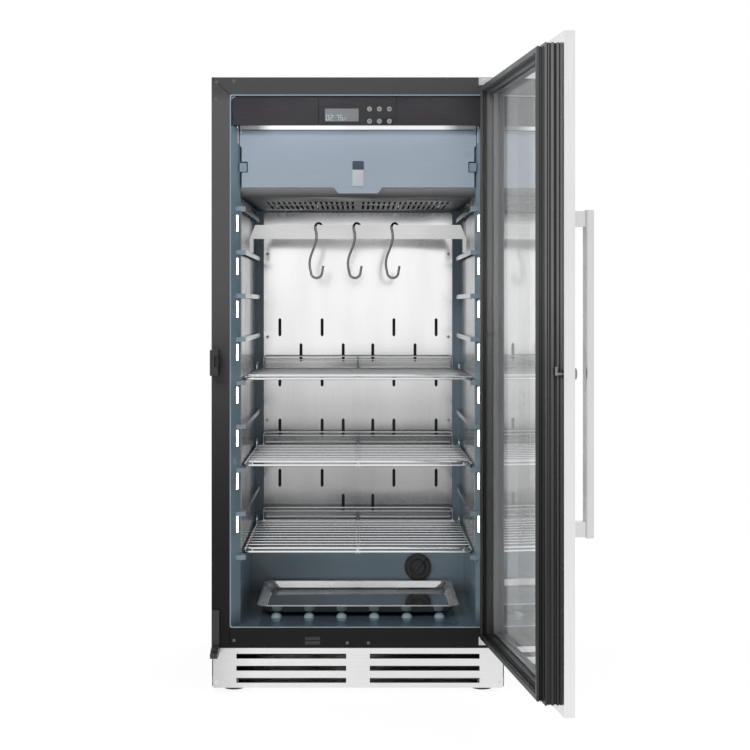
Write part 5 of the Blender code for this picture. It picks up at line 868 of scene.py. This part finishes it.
LATCH_LEFT, LATCH_RIGHT, LATCH_FACE = -0.0113, 0.0118, -0.2902
form = bmesh.new()
prism(form, corners(LATCH_LEFT, LATCH_RIGHT, 1.0205, 1.0542, 0.0012), -0.2946, LATCH_FACE, 0.0006)
prism(form, corners(-0.0080, 0.0085, 1.0225, 1.0520, 0.0010), LATCH_FACE, -0.2873)
piece("latch_tab", form, LATCH_PALE, "latch", ("flap_latch",), 40)
outline = corners(LATCH_LEFT, LATCH_RIGHT, 1.0538, 1.0720, 0.0022)
form = drawn(prism, outline, -0.2936, -0.2918, 0.0003)
piece("latch_window", form, LATCH_DARK, "latch", smooth=40)

LINE_HALF, LINE_LOW, LINE_HIGH, LINE_DEPTHS = 0.0005, 1.032, 1.118, (-0.29268, -0.2922)
for name, x in (("flap_line_left", -0.2253), ("flap_line_left_inner", -0.2190),
                ("flap_line_right", 0.2253), ("flap_line_right_inner", 0.2190)):
    limits = (x - LINE_HALF, LINE_LOW, x + LINE_HALF, LINE_HIGH)
    form = drawn(upright, *limits, LINE_DEPTHS, 0.00015, 1)
    piece(name, form, FLAP, "evaporator_flap")

# ------------------------ drip tray and floor
TRAY_HALF, TRAY_FRONT, TRAY_REAR, TRAY_CORNER = 0.212, -0.231, 0.099, 0.022
TRAY_SIDE_SHARE, TRAY_REAR_SHARE = 0.85, 0.55
# Inset from the rim and height, over the inside, round the rim and under the outside
TRAY_RINGS = (
    (0.0300, 0.13440), (0.0262, 0.13455), (0.0226, 0.13560), (0.0204, 0.13740), (0.0092, 0.14860),
    (0.0078, 0.15040), (0.0060, 0.15150), (0.0042, 0.15195), (0.0014, 0.15190), (0.0003, 0.15140),
    (0.0000, 0.15060), (0.0007, 0.14990), (0.0020, 0.15010), (0.0044, 0.15045), (0.0064, 0.14960),
    (0.0081, 0.14820), (0.0196, 0.13650), (0.0220, 0.13430), (0.0258, 0.13345), (0.0300, 0.13330),
)
# The inner walls and rim take the light copy of the steel, a painted highlight.
LIT_RIM_RINGS = range(3, 12)
form = bmesh.new()
rings = []
for inset, z in TRAY_RINGS:
    half = TRAY_HALF - inset * TRAY_SIDE_SHARE
    low, high = TRAY_FRONT + inset, TRAY_REAR - inset * TRAY_REAR_SHARE
    outline = corners(-half, half, low, high, TRAY_CORNER, 8)
    rings.append([form.verts.new((x, y, z)) for x, y in outline])
for number, faces in enumerate(loft(form, rings)):
    for face in faces:
        face.material_index = int(number in LIT_RIM_RINGS)
cap_ends(form, rings[0], rings[-1])
tray = piece("tray_pressing", form, TRAY_STEEL, "tray", ("drip_tray",), 50)
tray.data.materials.append(TRAY_RIM_LIT)

# Rib noses on the floor, in the light copy of the liner plastic: painted light on their fronts.
FLOOR_Z, RIB_HALF, RIB_HIGH, RIB_STEPS = 0.1243, 0.0112, 0.0089, 14
RIB_FIRST, RIB_PITCH, RIB_FRONT = -0.1705, 0.0682, FRONT_Y + 0.0945
RIB_START, RIB_NOSE_LONG = 0.0003, 0.0118
RIB_RUNS, RIB_TIP = (-0.0003, 0.0004, 0.0020, 0.0045, 0.0080, 0.0115, 0.0150), 0.38
for number in range(6):
    x = RIB_FIRST + RIB_PITCH * number
    form = bmesh.new()
    rings = []
    for run in RIB_RUNS:
        left_over = 1 - min(1.0, (run + RIB_START) / RIB_NOSE_LONG)
        share = RIB_TIP + (1 - RIB_TIP) * math.sqrt(max(0.0, 1 - left_over ** 2))
        ring = []
        for step in range(RIB_STEPS + 1):
            angle = math.pi * step / RIB_STEPS
            ring.append(form.verts.new((x + RIB_HALF * share * math.cos(angle), RIB_FRONT + run,
                                        FLOOR_Z + RIB_HIGH * share * math.sin(angle))))
        rings.append(ring)
    loft(form, rings)
    cap_ends(form, rings[0], rings[-1])
    piece(f"rib_nose_{number + 1}", form, RIB_NOSE_LIT, "cabinet", smooth=50)

# ------------------------ filter cap and rear panel
CAP_AT, CAP_TURN = (0.136, 0.1097, 0.181), math.radians(48)
CAP_PROFILE = [
    (0.0, -0.0140), (0.0196, -0.0140), (0.0196, 0.0), (0.0303, 0.0), (0.0303, 0.0052),
    (0.0298, 0.0062), (0.0288, 0.0067), (0.0278, 0.0066), (0.0272, 0.0060), (0.0270, 0.0040),
    (0.0266, 0.0037), (0.0182, 0.0037), (0.0176, 0.0043), (0.0176, 0.0092), (0.0170, 0.0100),
    (0.0160, 0.0102), (0.0152, 0.0098), (0.0148, 0.0088), (0.0146, 0.0070), (0.0, 0.0070)]
SPOKES = 20
turn_cos, turn_sin = math.cos(CAP_TURN), math.sin(CAP_TURN)
cap_place = Matrix(((turn_cos, -turn_sin, 0.0, CAP_AT[0]), (0.0, 0.0, -1.0, CAP_AT[1]),
                    (turn_sin, turn_cos, 0.0, CAP_AT[2]), (0.0, 0.0, 0.0, 1.0)))
form = bmesh.new()
lathe(form, CAP_PROFILE, cap_place, 56)
# The bar across the cap, the grip on it and the spokes of the grille round them
slab(form, (-0.0286, -0.0042, 0.0035), (0.0286, 0.0042, 0.0077), 0.0010, 2, cap_place)
slab(form, (-0.0150, -0.0040, 0.0066), (0.0150, 0.0040, 0.0101), 0.0014, 3, cap_place)
for step in range(SPOKES):
    spoke = cap_place @ Matrix.Rotation(2 * math.pi * (step + 0.5) / SPOKES, 4, "Z")
    slab(form, (0.0178, -0.0007, 0.0035), (0.0268, 0.0007, 0.0050), 0.0003, 1, spoke)
piece("cap_turned", form, CAP_PLASTIC, "cap", ("filter_cap",), 35)

# Painted shadow behind the rear panel's slots: a dark sheet, which is what shows through them
SLOT_SHADOW, SLOT_SHADOW_DEPTHS = (-0.222, 0.241, 0.222, 0.995), (0.26175, 0.26192)
form = drawn(upright, *SLOT_SHADOW, SLOT_SHADOW_DEPTHS)
piece("panel_slot_shadow", form, SHADOW, "cabinet")

# ------------------------ plinth with lipped slots
PLINTH_HALF, PLINTH_HIGH, PLINTH_FRONT, PLINTH_SHEET = 0.2945, 0.0805, -0.318, 0.0012
PLINTH_REAR, SHEET_START = PLINTH_FRONT + 0.0115, PLINTH_FRONT + 0.0011
SLOT_OUTER, SLOT_INNER, SLOT_LOWS, SLOT_HIGH = 0.247, 0.024, (0.010, 0.0345, 0.059), 0.010
LIP_NEAR, LIP_FAR = PLINTH_FRONT + 0.0006, PLINTH_FRONT + 0.0062
# A lip slopes in and down from the slot's upper edge: its front side, then its rear side
LIP_SECTION = ((LIP_NEAR, 0.0), (LIP_FAR, -0.0036), (LIP_NEAR + 0.0010, 0.0),
               (LIP_FAR + 0.0005, -0.0028))
LIP_FACES = ((0, 1, 2, 3), (7, 6, 5, 4), (0, 4, 5, 1), (1, 5, 6, 2), (2, 6, 7, 3), (3, 7, 4, 0))

form = bmesh.new()
columns = [-PLINTH_HALF, -SLOT_OUTER, -SLOT_INNER, SLOT_INNER, SLOT_OUTER, PLINTH_HALF]
rows = [0.0]
for low in SLOT_LOWS:
    rows += [low, low + SLOT_HIGH]
rows.append(PLINTH_HIGH)
grid = {}
for depth in (0, 1):
    for column, x in enumerate(columns):
        for row, z in enumerate(rows):
            y = PLINTH_FRONT + PLINTH_SHEET * depth
            grid[depth, column, row] = form.verts.new((x, y, z))
solid = {(column, row) for column in range(5) for row in range(7)}
solid -= {(column, row) for column in (1, 3) for row in (1, 3, 5)}
for column, row in solid:
    around = [(column, row), (column + 1, row), (column + 1, row + 1), (column, row + 1)]
    form.faces.new([grid[0, c, r] for c, r in around])
    form.faces.new([grid[1, c, r] for c, r in reversed(around)])
    beside = ((column, row - 1), (column + 1, row), (column, row + 1), (column - 1, row))
    for side, neighbour in enumerate(beside):
        if neighbour not in solid:
            first, second = around[side], around[(side + 1) % 4]
            form.faces.new([grid[key] for key in ((0, *first), (1, *first), (1, *second),
                                                  (0, *second))])
for x in (-PLINTH_HALF, PLINTH_HALF):
    inner = x - math.copysign(PLINTH_SHEET, x)
    slab(form, (min(x, inner), SHEET_START, 0.0), (max(x, inner), PLINTH_REAR, PLINTH_HIGH))
slab(form, (-PLINTH_HALF, SHEET_START, PLINTH_HIGH - PLINTH_SHEET),
     (PLINTH_HALF, PLINTH_REAR, PLINTH_HIGH))
lips = bmesh.new()
for left, right in ((-SLOT_OUTER, -SLOT_INNER), (SLOT_INNER, SLOT_OUTER)):
    for low in SLOT_LOWS:
        lip = []
        for (near, near_z), (far, far_z) in (LIP_SECTION[:2], LIP_SECTION[2:]):
            top, bottom = low + SLOT_HIGH + near_z, low + SLOT_HIGH + far_z
            places = ((left, near, top), (right, near, top), (right, far, bottom),
                      (left, far, bottom))
            lip += [lips.verts.new(place) for place in places]
        for face in LIP_FACES:
            lips.faces.new([lip[index] for index in face])
piece("plinth_plate", form, STAINLESS_ACROSS, "cabinet", ("plinth_grille",), 30)
# The lips take the darker steel: painted shade inside the slots.
piece("plinth_lips", lips, LIP_STEEL_SHADED, "cabinet", smooth=30)

# ------------------------ door's profile and seal
DOOR_HALF, DOOR_LOW, DOOR_HIGH, DOOR_GAP = 0.2975, 0.082, 1.240, 0.014
PIVOT = Matrix.Translation((0.2742, -0.350, 0.0))
DOOR_REST = PIVOT @ Matrix.Rotation(math.radians(96), 4, "Z") @ PIVOT.inverted()


def door_ring(form, section):
    """A closed section of (inset from the door's edge, distance out) round the whole door."""
    rings = []
    for inset, out in section:
        half, y = DOOR_HALF - inset, FRONT_Y - DOOR_GAP - out
        low, high = DOOR_LOW + inset, DOOR_HIGH - inset
        places = ((-half, y, low), (half, y, low), (half, y, high), (-half, y, high))
        rings.append([form.verts.new(DOOR_REST @ Vector(place)) for place in places])
    loft(form, [*rings, rings[0]])


def ridge(inset, start, end, depth, steps=6):
    """A rounded bead on a face at an inset, between two distances out."""
    points = []
    for step in range(steps + 1):
        angle = math.pi * step / steps
        out = (start + end) / 2 - (end - start) / 2 * math.cos(angle)
        points.append((inset + depth * (1 - math.sin(angle)), out))
    return points


EDGE = 0.0173
GROOVE, GROOVE_END, PROFILE_STEP = EDGE + 0.0030, EDGE + 0.0036, EDGE + 0.0004
PANE_SEAT, PANE_LIP, PROFILE_OUT, PROFILE_SHELF = 0.0293, 0.0373, 0.0289, 0.0101
PROFILE_SECTION = [
    (EDGE + 0.0012, 0.0), (EDGE, 0.0008), (EDGE, 0.0032), (GROOVE, 0.0036), (GROOVE, 0.0054),
    *ridge(EDGE + 0.0006, 0.0056, 0.0076, 0.0010, 4), (GROOVE, 0.0078), (GROOVE, 0.0098),
    *ridge(EDGE, 0.0100, 0.0162, 0.0022), (GROOVE_END, 0.0166), (GROOVE_END, 0.0196),
    *ridge(EDGE, 0.0200, 0.0252, 0.0022), (GROOVE, 0.0255), (GROOVE, 0.0264),
    (PROFILE_STEP, 0.0267), (PROFILE_STEP, PROFILE_OUT), (PANE_SEAT, PROFILE_OUT),
    (PANE_SEAT, PROFILE_SHELF), (PANE_LIP, PROFILE_SHELF), (PANE_LIP, 0.0010),
    (PANE_LIP - 0.0010, 0.0)]
# Start and end out from the liner's side, and depth under the profile's edge
GROOVES = ((0.0036, 0.0054, 0.0016), (0.0078, 0.0098, 0.0016), (0.0167, 0.0195, 0.0016),
           (0.0256, 0.0263, 0.0012))
SEAL_NEAR, SEAL_FAR = 0.0233, 0.0353
SEAL_SECTION = [
    (SEAL_NEAR, -0.0002), (SEAL_NEAR, -0.0026), (SEAL_NEAR + 0.0022, -0.0040),
    (SEAL_NEAR, -0.0054), (SEAL_NEAR, -0.0062), (SEAL_NEAR + 0.0022, -0.0074),
    (SEAL_NEAR + 0.0002, -0.0088), (SEAL_NEAR, -0.0118), (SEAL_NEAR + 0.0014, -0.0132)]
SEAL_SECTION += [(SEAL_NEAR + SEAL_FAR - inset, out) for inset, out in reversed(SEAL_SECTION)]

form = drawn(door_ring, PROFILE_SECTION)
piece("profile_extrusion", form, PROFILE_PLASTIC, "door", ("inner_profile",), 35)
# Dark rings of painted shade at the bottoms of the profile's grooves.
form = bmesh.new()
for start, end, depth in GROOVES:
    door_ring(form, [(EDGE + depth, start), (EDGE + depth, end), (GROOVE_END, end),
                     (GROOVE_END, start)])
piece("profile_groove_shade", form, SHADOW, "door")
form = drawn(door_ring, SEAL_SECTION)
piece("seal_bellows", form, RUBBER, "door", ("gasket",), 35)

# ------------------------ fixings
FRAME_SCREWS = ((-0.2871, 1.2303), (-0.2522, 1.2323), (-0.2877, 1.1958), (-0.2518, 0.0965),
                (-0.0217, 0.0912), (0.0211, 0.0912))
REAR_SCREWS = [(x, z) for z in (1.226, 0.93, 0.62, 0.31, 0.014) for x in (-0.284, 0.0, 0.284)]
PANEL_SCREWS = [(x, z) for z in (0.898, 0.702, 0.505) for x in (-0.214, 0.214)]
HINGE_SCREWS = ((0.2560, 1.2333), (0.2560, 0.0955))
PLINTH_SCREWS = ((-0.287, 0.011), (0.287, 0.011))
INLAY_LEFT, INLAY_RIGHT, INLAY_DEPTHS = -0.1076, -0.0772, (-0.32003, -0.3199)
INLAY_HEIGHTS = ((0.0880, 0.0950), (0.0970, 0.1035))
HEAD = 0.0036
screw_row("frame", range(1, 7), FRAME_SCREWS, -0.31995, FRONT, 0.0031, 0.0004, SCREW_DARK)
form = bmesh.new()
for low, high in INLAY_HEIGHTS:
    upright(form, INLAY_LEFT, low, INLAY_RIGHT, high, INLAY_DEPTHS, 0.0002, 1)
piece("frame_inlay", form, BLACK_PLASTIC, "cabinet", smooth=30)
screw_row("rear", range(1, 16), REAR_SCREWS, 0.32005, REAR, HEAD, 0.0012, SCREW_DARK)
screw_row("panel", range(1, 7), PANEL_SCREWS, 0.2609, FRONT, HEAD, 0.0014, STAINLESS_UP)
screw_row("hinge", ("top", "bottom"), HINGE_SCREWS, -0.3222, FRONT, HEAD, 0.0008, STAINLESS_UP)
screw_row("plinth", range(1, 3), PLINTH_SCREWS, PLINTH_FRONT + 0.0002, FRONT, HEAD, 0.0002,
          STAINLESS_UP)
